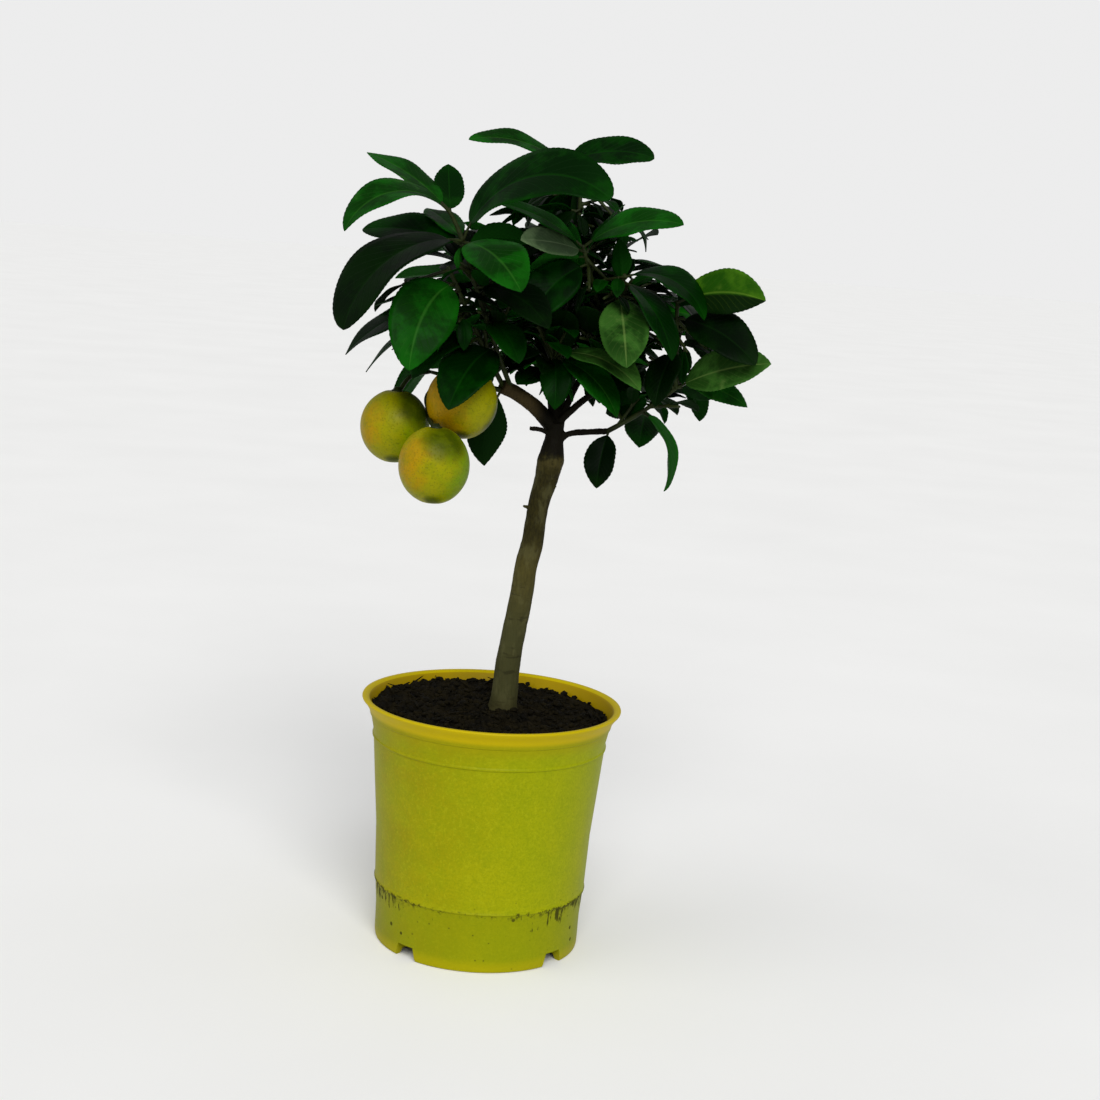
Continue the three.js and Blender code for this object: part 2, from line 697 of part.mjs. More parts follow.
function addNode(name, solid, colour, roughness) {
  const data = solid.getMesh();
  const geometry = new THREE.BufferGeometry();
  geometry.setAttribute("position", new THREE.BufferAttribute(Float32Array.from(data.vertProperties), 3));
  geometry.setIndex(new THREE.BufferAttribute(Uint32Array.from(data.triVerts), 1));
  geometry.computeVertexNormals();
  const material = new THREE.MeshStandardMaterial({ color: colour, roughness, metalness: 0 });
  material.name = name;
  const mesh = new THREE.Mesh(geometry, material);
  mesh.name = name;
  group.add(mesh);
}

addNode("pot", potSolid(), COLOURS.pot, 0.55);
addNode("soil", soilSolid(), COLOURS.soil, 0.95);
addNode("trunk", trunkSolid(), COLOURS.bark, 0.85);

// Each bough keeps clear of the trunk and of the boughs before it
let standing = trunkSolid(CLEARANCE);
Object.entries(BOUGHS).forEach(([name, points]) => {
  addNode(name, largest(limbSolid(points, 10, 5).subtract(standing)), COLOURS.bark, 0.85);
  standing = standing.add(limbSolid(points, 10, 5, CLEARANCE));
});

const plant = growPlant();
Object.entries(plant).forEach(([name, grown]) => {
  if (name === "truss") {
    addNode("fruit_truss", largest(fruitTruss(grown).subtract(standing)), COLOURS.fruit, 0.45);
  } else {
    addNode(name + "_foliage", largest(massSolid(grown).subtract(standing)), COLOURS.leaf, 0.5);
  }
});

export default group;
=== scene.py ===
import math

import bpy
import numpy as np
from bpy.props import FloatProperty, FloatVectorProperty, IntProperty, PointerProperty
from mathutils import Matrix, Vector, noise


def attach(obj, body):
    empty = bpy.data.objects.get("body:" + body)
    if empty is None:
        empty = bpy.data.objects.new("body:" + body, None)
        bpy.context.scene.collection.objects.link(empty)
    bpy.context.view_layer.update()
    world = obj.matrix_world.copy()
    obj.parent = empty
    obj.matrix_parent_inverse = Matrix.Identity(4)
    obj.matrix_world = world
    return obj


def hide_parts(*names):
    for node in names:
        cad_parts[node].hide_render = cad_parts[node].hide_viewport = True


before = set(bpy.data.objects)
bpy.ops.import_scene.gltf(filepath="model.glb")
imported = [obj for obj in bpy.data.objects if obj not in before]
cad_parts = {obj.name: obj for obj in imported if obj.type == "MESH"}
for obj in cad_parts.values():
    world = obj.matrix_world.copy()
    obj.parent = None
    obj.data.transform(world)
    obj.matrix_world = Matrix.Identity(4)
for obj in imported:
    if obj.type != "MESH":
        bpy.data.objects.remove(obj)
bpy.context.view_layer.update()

bl_info = {
    "name": "Potted lemon tree",
    "version": (1, 0, 0),
    "blender": (4, 5, 0),
    "location": "3D View > Sidebar > Lemon Tree",
    "description": "Builds a young lemon tree in an olive nursery pot, piece by piece",
    "category": "Add Mesh",
}

MM = 0.001
DEG = math.pi / 180

# The pot's profile in millimetres: radius and height
POT_OUTER = [
    (30, 0), (32.5, 1), (34, 10.5), (71, 10.5), (73.5, 1.5), (74.5, 0), (77.6, 0), (78.8, 0.6),
    (79.3, 3), (79.4, 8), (79.6, 25), (81.1, 44), (81.4, 45.4), (82.2, 46.2), (82.3, 46.9),
    (81.8, 47.8), (81.8, 51), (83.3, 90), (86.8, 130), (89.1, 157.4), (89.3, 158.9), (90.2, 159.6),
    (90.3, 160.6), (89.7, 161.6), (89.8, 165), (91.3, 172), (92.2, 176), (92.9, 176.6), (94, 181),
    (97.2, 186), (99.4, 188.4), (99.7, 189.3), (99.3, 190.2), (98.4, 190.5),
]
POT_INNER = [
    (97, 190.4), (95.4, 189.9), (94, 188.6), (93.4, 187.2), (91.6, 182), (90, 177), (87.4, 160),
    (81.3, 90), (77, 15), (75.5, 13), (40, 13),
]
SMOOTH_ANGLE = 32
NOTCH = {"tall": 10.5, "top": 15, "foot": 21, "depth": 12, "radius": 72, "count": 4, "heading": 50}

# Soil: its side as radius and height, the rings of its flat top before it is heaped, and the
# height above which its vertices move
SOIL_SIDE = [(74.6, 13.3), (76.5, 20), (80.5, 90), (86.6, 160), (88.2, 172)]
SOIL_SIDES, SOIL_RING_STEP, SOIL_RADIUS, SOIL_TOP, SOIL_HEAPED = 200, 1.5, 87, 181, 172.5
# Heights and radii of the wall beside the soil, and the room left to it
WALL = ((160, 177, 182, 187.2, 188.6), (87.4, 90, 91.6, 93.4, 94))
WALL_GAP, CRUMB_GAP = 0.7, 0.4
# The heap: its height, slopes along +X and +Y, and limit; the mound's place, height and spread;
# the drop towards the wall; and bumps as (height, frequency, layer)
HEAP_TOP, HEAP_SLOPES, HEAP_LIMIT = 182.3, (-0.024, 0.012), 188.5
MOUND_AT, MOUND, MOUND_SPREAD = 8, 3.6, 700
EDGE_START, EDGE_WIDTH, EDGE_DROP = 74, 14, 1.2
BUMPS = [(3.0, 0.05, 3), (3.2, 0.14, 8), (2.2, 0.36, 5), (1.0, 1.1, 2)]
# The clearing at the trunk that crumbs stay out of
TRUNK_FOOT, CLEARING = 8.4, 12

# Limbs: points of the middle line and radius in millimetres
TRUNK = [
    (8.4, 0, 179, 13), (8.6, 0, 187, 10.8), (9.4, 0, 200, 9.9), (10, 0, 218, 9.5),
    (11.2, 0, 231, 9.1), (14.2, 0, 254, 8.8), (17, 0, 278, 8.6), (18.6, 0, 297, 8.4),
    (21.8, 0, 313, 8.3), (23.1, 0, 331, 7.8), (25, 0, 348, 7.8), (28, 0, 360, 8.4),
    (30.2, 0, 372, 9.4), (31.6, 0, 382, 9.2), (32.4, 0, 394, 7.8), (32.6, 0, 408, 7),
]
BELOW_SOIL = (8.2, 0, 165, 15)
BOUGHS = [
    [(31, 0, 404, 6), (17, -3, 418, 5.6), (2, -8, 428, 5.3), (-9, -14.5, 433, 5.2)],
    [(33, 2, 405, 5), (30, 6, 423, 4.4), (29, 9, 438, 4.6)],
    [(33, 2, 405, 5), (34, 20, 426, 4.6), (34, 41, 450, 5.6)],
    [(34, 0, 407, 3), (50, -2, 424, 2.4), (63, -6, 435, 2.2)],
    [(34, 0, 393, 4.4), (44, -2, 400, 2.9), (59, -6, 403, 2.4), (72, -10, 405, 2.2)],
    [(36, 3, 408, 2.8), (43, 6, 428, 2.3), (50, 10, 444, 2.2)],
]
# Thorns and a small pruned stub
STUBS = [
    [(22, -3, 341, 2), (13.2, -5, 343.4, 0.9)],
    [(27, -2, 357, 2), (37.5, -6, 360, 0.7)],
    [(30, -4, 398, 2.8), (23, -9, 402, 2.2), (14, -13, 403, 1.8)],
]
# Scars on the front: across, height, half width, half height and push
SCARS = [(22, 312.5, 1.6, 2.4, -3.5), (22, 316.5, 3.2, 1.6, 1.6), (18.3, 283, 1.5, 2.2, -3),
         (17, 262, 2.4, 1.5, 1.5), (31, 379, 30, 3.5, 2.5), (29, 367, 12, 2.5, -1.6),
         (34, 397, 24, 7, -4)]
SCARS_BACK = 4
WOOD_NODES = ("trunk", "left_bough", "centre_bough", "back_bough", "right_bough",
              "lower_right_bough", "pruned_stub")

# Masses of foliage, the same as the source's. Each has the start of its stem, legs as (parent
# address, heading, rise, length, arch) and set leaves as (address, heading, rise, length, arch,
# roll, width share, bluntness and, unless it is dark, its green). Of the greens, deep is painted
# shade, the pale grey-green one is painted sheen and the lime one has painted shade on half of
# the blade. The space is an ellipsoid, middle and half sizes, that seeded twigs and leaves stay
# inside.
FILL_KEYS = ("seed", "leg", "twigs", "leaves", "along", "heading", "rise",
             "twig_length", "leaf_length")
MASSES = {
    "upper_left": dict(
        start=(-3, -14, 434),
        legs=[(None, -131, 60, 122, -8), (0.98, -158, 60, 24, 10)],
        leaves=[
            (1.9, -156, -13, 93, 112, -22, 0.38, 0.3, "mid"),
            (1.98, 152, 27, 82, 28, -14, 0.36, 0.2, "mid"),
            (1.9, 100, 46, 48, -10, 0, 0.48, 0.6),
            (1, -23, 18, 136, 110, 46, 0.36, 1),
            (0.98, -146, -36, 123, 84, -12, 0.46, 0.9, "deep"),
            (0.97, -56, -20, 88, 44, 22, 0.46, 0.4, "mid"),
            (0.95, 15, 6, 50, 50, -60, 0.45, 0),
            (0.95, 157, 4, 84, 30, -36, 0.4, 0.8),
            (0.8, 172, -12, 96, 84, -5, 0.34, 0, "deep"),
            (0.98, 122, 20, 62, 20, -5, 0.42, 0, "mid"),
            (0.68, -40, -18, 78, 56, 25, 0.42, 0.4, "deep"),
            (0.45, -58, -27, 58, 54, 10, 0.46, 0.3),
            (0.27, -113, -30, 86, 54, -15, 0.46, 0.4),
        ],
        space=((-35, 0, 505), (72, 78, 50)),
        fill=(31, 0, 6, 3, (0.4, 0.95), 110, (0, 40), (18, 30), (50, 75)),
    ),
    "left": dict(
        start=(-8, -14, 433),
        legs=[(None, -137, 55, 88, -6), (0.95, -155, 60, 20, 0)],
        leaves=[
            # This leaf's mid green partly stands in for the sheen on it: painted sheen
            (1.3, -116, -46, 92, 85, -35, 0.5, 0.5, "mid"),
            (0.85, 176, -28, 98, 50, -22, 0.4, 0),
            (0.7, 166, -31, 94, 55, -15, 0.36, 0),
            (1.0, 154, -13, 72, 20, -15, 0.36, 0),
            (0.55, -141, -32, 66, 46, -8, 0.45, 0.3),
            (0.48, 148, -41, 108, 60, 0, 0.34, 0, "mid"),
        ],
        space=((-50, 5, 470), (72, 75, 52)),
        fill=(32, 0, 7, 3, (0.35, 0.95), 80, (0, 40), (18, 30), (50, 75)),
    ),
    "top": dict(
        start=(30.5, 11.5, 437.5),
        legs=[(None, 10, 87, 153, -10), (0.97, -160, 40, 22, 20)],
        leaves=[
            (1.9, -164, 9, 76, 48, -30, 0.34, 0.7, "mid"),
            (1.9, -6, 7, 69, 48, 44, 0.45, 1),
        ],
        space=((30, 35, 540), (70, 77, 48)),
        fill=(33, 0, 9, 4, (0.4, 0.9), 60, (-5, 35), (20, 34), (55, 80)),
    ),
    "upper_right": dict(
        start=(62.5, -5.8, 434.5),
        legs=[(None, 75, 72, 47, 0), (0.9, -120, 55, 80, 0), (0.9, -79, 46, 66, -10)],
        leaves=[
            (1.98, -20, 16, 80, 54, 36, 0.42, 0.5, "mid"),
            (1.9, 40, 48, 52, 28, -25, 0.42, 0.3),
            (1.97, -172, 23, 72, 36, -26, 0.34, 0, "mid"),
            # This leaf's pale grey-green is a painted sheen
            (1.93, -138, 5, 62, 20, -45, 0.46, 0.4, "silver"),
            (1.88, 177, -19, 46, 30, 40, 0.42, 0, "mid"),
            (1.93, 49, -22, 30, 40, 35, 0.42, 0),
            (1.92, 120, 30, 46, 0, 80, 0.35, 0.3, "mid"),
            (1.8, -148, -43, 64, 50, -50, 0.54, 0.5),
            (2.85, 120, 74, 34, 10, 120, 0.5, 0),
            (2.85, 60, 50, 24, 0, -20, 0.5, 0),
            (2.95, -19, -22, 76, 96, 20, 0.44, 0.3),
            (2.7, -84, -34, 86, 20, 12, 0.42, 0.6, "bright"),
            (2.9, -45, -44, 78, 56, 0, 0.4, 0.4),
        ],
        space=((72, 15, 496), (62, 78, 48)),
        fill=(34, 0, 8, 3, (0.5, 1.0), 40, (0, 50), (24, 40), (50, 75)),
    ),
    "right": dict(
        start=(71.5, -9.8, 404.8),
        legs=[(None, -24, 36, 66, -10), (0.97, 170, 86, 64, 0)],
        leaves=[
            (1.9, 30, 48, 30, 10, 60, 0.52, 0),
            # This leaf is painted lime on one half and in shade on the other
            (1.97, -28, 6, 71, 46, 78, 0.48, 0.3, "lime"),
            (1.8, -34, -22, 75, 44, 46, 0.46, 0.5, "deep"),
            (0.98, -26, 19, 76, 26, 60, 0.46, 0.3, "bright"),
            (1.1, 5, -17, 58, 36, 60, 0.36, 0, "mid"),
            (0.99, 28, -8, 38, 17, 120, 0.5, 0),
            (1.5, 36, -20, 60, 45, 25, 0.42, 0),
            (0.93, 77, 60, 37, 0, -130, 0.45, 0),
            (1.45, -115, -52, 54, 56, 5, 0.5, 0, "deep"),
            (0.03, -114, -70, 46, 40, -5, 0.54, 0.2, "deep"),
            (0.48, -34, -66, 69, 96, -44, 0.46, 0, "mid"),
            (0.62, 135, -14, 48, 43, -80, 0.5, 0.3),
            (0.55, 93, -44, 48, 36, -170, 0.55, 0),
        ],
        space=((118, 20, 455), (66, 72, 50)),
        fill=(35, 1, 8, 3, (0.0, 0.95), 70, (-10, 40), (18, 30), (45, 70)),
    ),
    "centre": dict(
        start=(27.5, 6.5, 436),
        legs=[(None, -88, 58, 27, 0)],
        leaves=[
            (0.9, -30, -34, 72, 60, 26, 0.4, 0, "mid"),
            (0.97, -39, -12, 88, 58, 14, 0.4, 0, "bright"),
            (0.98, -80, -63, 46, 66, 10, 0.52, 0),
            (0.4, -134, -14, 38, 29, -20, 0.64, 0.4),
        ],
        space=((35, 0, 465), (70, 62, 48)),
        fill=(36, 0, 6, 3, (0.2, 1.0), 150, (20, 60), (16, 28), (45, 65)),
    ),
    "truss": dict(
        start=(-7, -14.5, 429.5),
        legs=[(None, 176, 10, 58, 0)],
        leaves=[(0.04, 150, -80, 60, 40, 60, 0.5, 0, "deep")],
    ),
    "back_left": dict(
        start=(30, 39.5, 447.5),
        legs=[(None, 137, 52, 92, -6)],
        space=((-20, 68, 482), (94, 98, 72)),
        fill=(21, 0, 13, 4, (0.2, 1.0), 60, (0, 50), (22, 44), (65, 98)),
    ),
    "back_right": dict(
        start=(38, 39, 447),
        legs=[(None, 42, 42, 86, -6)],
        space=((92, 66, 460), (90, 96, 64)),
        fill=(22, 0, 13, 4, (0.2, 1.0), 20, (-5, 45), (22, 42), (62, 92)),
    ),
    "back_top": dict(
        start=(34, 41, 450),
        legs=[(None, 85, 70, 96, -4)],
        space=((38, 75, 528), (92, 94, 58)),
        fill=(23, 0, 12, 4, (0.4, 1.0), 100, (0, 45), (22, 40), (62, 92)),
    ),
}

# Fruits: middle, radius, half height, and the stalk from its address on the truss's leg
FRUITS = [
    ((-84.7, -32, 399.4), 25.5, 27, 0.98, [(-76, -22, 436), (-84, -31, 424)]),
    ((-51.4, -76, 378.4), 25.5, 28, 0.8, [
        (-62.5, -33, 424), (-61.5, -34, 414), (-59.8, -40, 408.5), (-57.5, -56, 407.5),
        (-52, -76, 404)]),
    ((-36.1, -44, 421.8), 26, 27, 0.4, [(-34, -26, 448), (-36, -42, 447)]),
]
# How far each fruit has ripened, where it has a dark green patch, partly unripe green and partly
# painted shade, and where it blushes
RIPER = [-0.05, 0, 0.3]
GREEN_AND_SHADE = [(0.62, -0.45, 0.64), (0.32, -0.55, 0.77), (0.9, 0.2, -0.4)]
BLUSH = [(-0.62, -0.78, 0.05), (-0.5, -0.86, 0.1), (-0.75, -0.6, -0.3)]


# Growth rule
# First and last radius of stems and twigs, and the room left round each kind
LEG_RADII = (2, 1.3)
TWIG_RADII = (1.5, 1)
LIMB_MARGIN = 0.8
FRUIT_MARGIN = 1
LEAF_MARGIN = 1.6
# How finely the room for twigs and fruits is measured
TWIG_STATIONS, BALL_TURNS, BALL_RINGS = 5, 12, 7
# A leaf: the rows it is measured at, its cup, its stalk's share of the length and its outline
LEAF_STATIONS, LEAF_MIDDLE = (0.1, 0.26, 0.5, 0.76, 1), 0.55
LEAF_CUP = 0.08
PETIOLE_SHARE = 0.1
BLADE_SWELL = 0.92
BLADE_POINT, BLADE_ROUNDING = 0.9, 0.35
# Steps of the seeded numbers
DRAW_TIMES, DRAW_PLUS, DRAW_SPAN = 1664525, 1013904223, 2**32
# Seeded filling: tries for each piece, turns and bends in degrees, places along the twig
TRIES = 8
GOLDEN_TURN = 137.5
TWIG_SWING, TWIG_BEND, TWIG_BEND_BACK = 60, 15, 0.3
LEAF_FIRST, LEAF_RUN, LEAF_LAST = 0.35, 0.6, 0.98
LEAF_ASIDE, LEAF_ASIDE_MORE = 55, 30
LEAF_SWING, LEAF_DROOP, LEAF_ROLL = 60, 60, 60
LEAF_BEND, LEAF_BEND_MORE = 20, 55
FILL_WIDTH_SHARE = 0.44
FILL_BLUNT = 0.3
# Seeded leaves drawn below the first share get the deep green, which is painted shade, and above
# the second the mid green
SHADE_BELOW, MID_ABOVE = 0.4, 0.8
SEED_STEP, TWIG_STEP = 1009, 97
# Finer twigs and smaller leaves along every leg, within the same spaces
FINER = dict(twigs=10, leaves=4, along=(0.1, 1), rise=(-40, 60), twig_length=(14, 46))
FINER_TURNS = 3
FINER_SEED, FINER_MASS_STEP, FINER_TURN_STEP = 400, 40, 10
FINER_HEADING = 60
FINER_BEHIND = (1, (34, 54))
FINER_FRONT = (0.93, (22, 42))


def polar(heading, rise):
    """Directions of a heading and a rise in degrees."""
    level, heading, rise = np.cos(rise * DEG), heading * DEG, rise * DEG
    return np.stack((level * math.cos(heading), level * math.sin(heading), np.sin(rise)), -1)


class Arc:
    """The circular arc of a twig or of a leaf's midrib, in millimetres and degrees."""

    def __init__(self, start, heading, rise, length, arch, roll=0, width=0, blunt=0, spray="dark"):
        self.start = np.array(start, float)
        self.heading, self.rise, self.length, self.arch = heading, rise, length, arch
        self.roll, self.width, self.blunt, self.spray = roll, width, blunt, spray

    def at(self, share):
        """Points of the arc."""
        share = np.asarray(share, float)
        chord = np.sinc(self.arch * DEG * share / 2 / math.pi)
        way = polar(self.heading, self.rise + self.arch * (1 - share) / 2)
        return self.start + way * (self.length * share * chord)[..., None]

    def frame(self, share):
        """Directions along, to the left of and up from the arc."""
        heading, roll = self.heading * DEG, self.roll * DEG
        along = polar(self.heading, self.rise + self.arch * (0.5 - np.asarray(share, float)))
        level = np.array((-math.sin(heading), math.cos(heading), 0))
        side = math.cos(roll) * level + math.sin(roll) * np.cross(along, level)
        return along, side, np.cross(along, side)

    def half(self, share):
        """Half width of the blade."""
        past_stalk = (np.asarray(share, float) - PETIOLE_SHARE) / (1 - PETIOLE_SHARE)
        v = np.clip(past_stalk, 0, 1) ** BLADE_SWELL
        return self.width / 2 * (4 * v * (1 - v)) ** (BLADE_POINT - BLADE_ROUNDING * self.blunt)


class Shape:
    """What a piece takes up: layers of triangles and edges for the clash test."""

    def __init__(self, kind, owner, layers):
        self.kind, self.owner, self.core = kind, owner, layers[0]
        self.points = layers[0][0].reshape(-1, 3)
        self.tris, self.edges = (np.concatenate(part) for part in zip(*layers))
        self.low, self.high = self.points.min(0) - 2, self.points.max(0) + 2


class Room:
    """What is taken up so far, with the boxes in two arrays for a quick search."""

    def __init__(self):
        self.shapes, self.lows, self.highs = [], np.zeros((0, 3)), np.zeros((0, 3))

    def add(self, shape):
        self.shapes.append(shape)
        self.lows = np.vstack((self.lows, shape.low))
        self.highs = np.vstack((self.highs, shape.high))

    def drop(self, shape):
        i = self.shapes.index(shape)
        self.shapes.pop(i)
        self.lows, self.highs = np.delete(self.lows, i, 0), np.delete(self.highs, i, 0)

    def free(self, shape, may_touch):
        """True if the shape meets nothing but what it may touch."""
        meet = ((self.lows <= shape.high) & (self.highs >= shape.low)).all(1)
        near = [self.shapes[i] for i in np.flatnonzero(meet)]
        return not clash(shape, [other for other in near if not may_touch(other)])


def seeded(seed):
    """Numbers between 0 and 1 that are the same every time."""
    state = seed % DRAW_SPAN
    while True:
        state = (state * DRAW_TIMES + DRAW_PLUS) % DRAW_SPAN
        yield state / DRAW_SPAN


def turns(count):
    """Angles evenly round a circle."""
    return [2 * math.pi * k / count for k in range(count)]


def net(rows, closed):
    """Triangles and edges between rows of points that are closed rings or open lines."""
    tris, edges = [], []
    width = len(rows[0])
    for i, row in enumerate(rows):
        for k in range(width):
            after = (k + 1) % width
            if i:
                edges.append((rows[i - 1][k], row[k]))
            if not closed and after == 0:
                continue
            edges.append((row[k], row[after]))
            if i:
                a, b, c, d = rows[i - 1][k], rows[i - 1][after], row[after], row[k]
                tris += [(a, b, c), (a, c, d)]
    return np.array(tris), np.array(edges)


def prism(points, radii):
    """A three-sided tube."""
    points = np.asarray(points, float)
    rings = []
    for i, point in enumerate(points):
        along = points[min(i + 1, len(points) - 1)] - points[max(i - 1, 0)]
        along /= np.linalg.norm(along)
        across = np.cross(along, (0, 0, 1))
        size = np.linalg.norm(across)
        across = across / size if size > 1e-6 else np.array((1.0, 0, 0))
        other = np.cross(along, across)
        rings.append([point + radii[i] * (math.cos(t) * across + math.sin(t) * other)
                      for t in turns(3)])
    return net(rings, True)


def ball(middle, radius, half_height):
    """A coarse ball."""
    rings = [[(radius * math.sin(down) * math.cos(t), radius * math.sin(down) * math.sin(t),
               half_height * math.cos(down)) for t in turns(BALL_TURNS)]
             for down in np.linspace(0, math.pi, BALL_RINGS)]
    return net(np.array(rings) + middle, True)


def twig_shape(owner, arc, radii):
    shares = np.linspace(0, 1, TWIG_STATIONS)
    radius = radii[0] + (radii[1] - radii[0]) * shares + LIMB_MARGIN
    return Shape("twig", owner, [prism(arc.at(shares), radius)])


def leaf_shape(owner, leaf):
    shares = np.array(LEAF_STATIONS)
    _, side, face = leaf.frame(shares)
    half = leaf.half(shares)[:, None]
    middle, cup = leaf.at(shares), face * LEAF_CUP * half
    rows = np.stack((middle + side * half + cup, middle, middle - side * half + cup), 1)
    tris, edges = net(rows, False)
    up = leaf.frame(LEAF_MIDDLE)[2]
    layers = [(tris + up * k, edges + up * k) for k in (0, LEAF_MARGIN, -LEAF_MARGIN)]
    return Shape("leaf", owner, layers)


def pierced(tris, edges):
    """True where an edge passes through a triangle."""
    start = edges[:, 0]
    way = edges[:, 1] - start
    one, two = tris[:, 1] - tris[:, 0], tris[:, 2] - tris[:, 0]
    p = np.cross(way[:, None], two[None])
    det = (one[None] * p).sum(-1)
    det = np.where(np.abs(det) > 1e-9, det, np.inf)
    offset = start[:, None] - tris[:, 0][None]
    u = (offset * p).sum(-1) / det
    q = np.cross(offset, one[None])
    v = (way[:, None] * q).sum(-1) / det
    t = (two[None] * q).sum(-1) / det
    met = (u >= 0) & (v >= 0) & (u + v <= 1) & (t >= 0) & (t <= 1) & np.isfinite(det)
    return bool(met.any())


def within(parts, shape):
    """The triangles or edges whose boxes meet the shape's box."""
    parts = np.concatenate(parts)
    return parts[((parts.min(1) <= shape.high) & (parts.max(1) >= shape.low)).all(1)]


def clash(shape, others):
    """True if a shape meets any of the others. Of each pair with leaves one has its margins."""
    for plain in (True, False):
        met = [o for o in others if (o.kind == "leaf" or shape.kind != "leaf") == plain]
        if met:
            tris, edges = shape.core if plain else (shape.tris, shape.edges)
            if (pierced(tris, within([o.edges for o in met], shape))
                    or pierced(within([o.tris for o in met], shape), edges)):
                return True
    return False


def inside(points, space):
    return bool(((((points - space[0]) / space[1]) ** 2).sum(-1) <= 1).all())


def between(span, share):
    return span[0] + (span[1] - span[0]) * share


def legs_of(mass):
    """The arcs of a mass's stem, each from its start or from an address on an earlier one."""
    legs = []
    for address, *arc in mass["legs"]:
        legs.append(Arc(mass["start"] if address is None else spot(legs, address), *arc))
    return legs


def spot(legs, address):
    """The place of an address: a leg's number plus the share of its length."""
    return legs[int(address)].at(address - int(address))


def fill_mass(name, space, rule, grown, taken):
    """Seeded twigs and leaves: what would leave the space or touch another piece is skipped."""
    stem = grown["legs"][rule["leg"]]
    for i in range(rule["twigs"]):
        draw = seeded(rule["seed"] * SEED_STEP + i * TWIG_STEP)
        next(draw)
        start = stem.at(min(between(rule["along"], (i + 0.5) / rule["twigs"]), LEAF_LAST))
        for _ in range(TRIES):
            r = [next(draw) for _ in range(4)]
            heading = rule["heading"] + i * GOLDEN_TURN + TWIG_SWING * (r[0] - 0.5)
            twig = Arc(start, heading, between(rule["rise"], r[1]),
                       between(rule["twig_length"], r[2]), TWIG_BEND * (r[3] - TWIG_BEND_BACK))
            shape = twig_shape(name, twig, TWIG_RADII)
            if (inside(shape.points[-1:], space)
                    and taken.free(shape, lambda o: o.kind == "twig" and o.owner == name)):
                break
        else:
            continue
        taken.add(shape)
        leaves = fill_twig(name, space, rule, twig, shape, draw, taken)
        if leaves:
            grown["twigs"].append(twig)
            grown["leaves"] += leaves
        else:
            taken.drop(shape)


def fill_twig(name, space, rule, twig, twig_taken, draw, taken):
    """The leaves of one twig, on either side in turn and the last at its tip."""
    leaves = []
    end = rule["leaves"] - 1
    for j in range(rule["leaves"]):
        base = twig.at(LEAF_LAST if j == end else LEAF_FIRST + LEAF_RUN * j / end)
        for _ in range(TRIES):
            q = [next(draw) for _ in range(6)]
            aside = (LEAF_ASIDE + LEAF_ASIDE_MORE * q[0]) * (1 if j % 2 else -1)
            turn = 0 if j == end else aside
            length = between(rule["leaf_length"], q[3])
            # The deep green is painted shade for the leaves inside the crown
            leaf = Arc(base, twig.heading + turn + LEAF_SWING * (q[1] - 0.5),
                       twig.rise - LEAF_DROOP * q[2], length, LEAF_BEND + LEAF_BEND_MORE * q[4],
                       LEAF_ROLL * (q[5] - 0.5), length * FILL_WIDTH_SHARE, FILL_BLUNT,
                       "mid" if q[5] > MID_ABOVE else "deep" if q[5] < SHADE_BELOW else "dark")
            shape = leaf_shape(name, leaf)
            if inside(shape.points, space) and taken.free(shape, lambda o: o is twig_taken):
                taken.add(shape)
                leaves.append(leaf)
                break
    return leaves


def grow_plant():
    """Legs, twigs and leaves of every mass, in the source's order."""
    taken = Room()
    for rows in [TRUNK] + BOUGHS:
        rows = np.array(rows, float)
        taken.add(Shape("limb", "limb", [prism(rows[:, :3], rows[:, 3] + LIMB_MARGIN)]))
    for middle, radius, half_height, _, _ in FRUITS:
        round_it = ball(middle, radius + FRUIT_MARGIN, half_height + FRUIT_MARGIN)
        taken.add(Shape("fruit", "truss", [round_it]))
    plant = {}
    for name, mass in MASSES.items():
        grown = plant[name] = {"legs": legs_of(mass), "twigs": [], "leaves": []}
        for leg in grown["legs"]:
            taken.add(twig_shape(name, leg, LEG_RADII))
        for address, heading, rise, length, arch, roll, share, *rest in mass.get("leaves", ()):
            leaf = Arc(spot(grown["legs"], address), heading, rise, length, arch, roll,
                       length * share, *rest)
            grown["leaves"].append(leaf)
            taken.add(leaf_shape(name, leaf))
    filled = {name: mass for name, mass in MASSES.items() if "fill" in mass}
    for name, mass in filled.items():
        rule = dict(zip(FILL_KEYS, mass["fill"]))
        fill_mass(name, mass["space"], rule, plant[name], taken)
    for turn in range(FINER_TURNS):
        for name, mass in filled.items():
            middle, sizes = mass["space"]
            share, length = FINER_BEHIND if name.startswith("back") else FINER_FRONT
            seed = FINER_SEED + FINER_MASS_STEP * list(MASSES).index(name) + FINER_TURN_STEP * turn
            for leg in range(len(mass["legs"])):
                rule = dict(FINER, seed=seed + leg, leg=leg, heading=FINER_HEADING * turn,
                            leaf_length=length)
                fill_mass(name, (middle, np.array(sizes) * share), rule, plant[name], taken)
    return plant


# Meshes
# Leaf blade: rows along it, columns across it, and its edge, waves, midrib and thickness
LEAST_ROWS, BLADE_START = 20, 0.004
COLUMNS = np.array((-1, -0.82, -0.45, -0.09, 0, 0.09, 0.45, 0.82, 1))
LEAST_HALF = ((0, 0.1, 0.9, 1), (1, 0.9, 0.3, 0.15))
SCALLOP, SCALLOP_START, SCALLOP_DEPTH = 3.6, 0.4, 0.5
RIM_SWAY, RIM_WAVES = 0.03, (8, 9)
FOLD, FOLD_POWER = (0.07, 0.16), 1.2
BLADE_WAVES, WAVE_SHARE, WAVE_LIMIT = (11, 10), 0.07, 1.2
MIDRIB, CHANNEL, RIB = 0.05, 0.35, 0.5
EDGE_THINNER = 0.7
# Leaves up to this length get wider rows, and a piece gets no more than this many faces
FINE_LEAF, FINE_SPACING = 45, 1.6
MOST_FACES = 95000


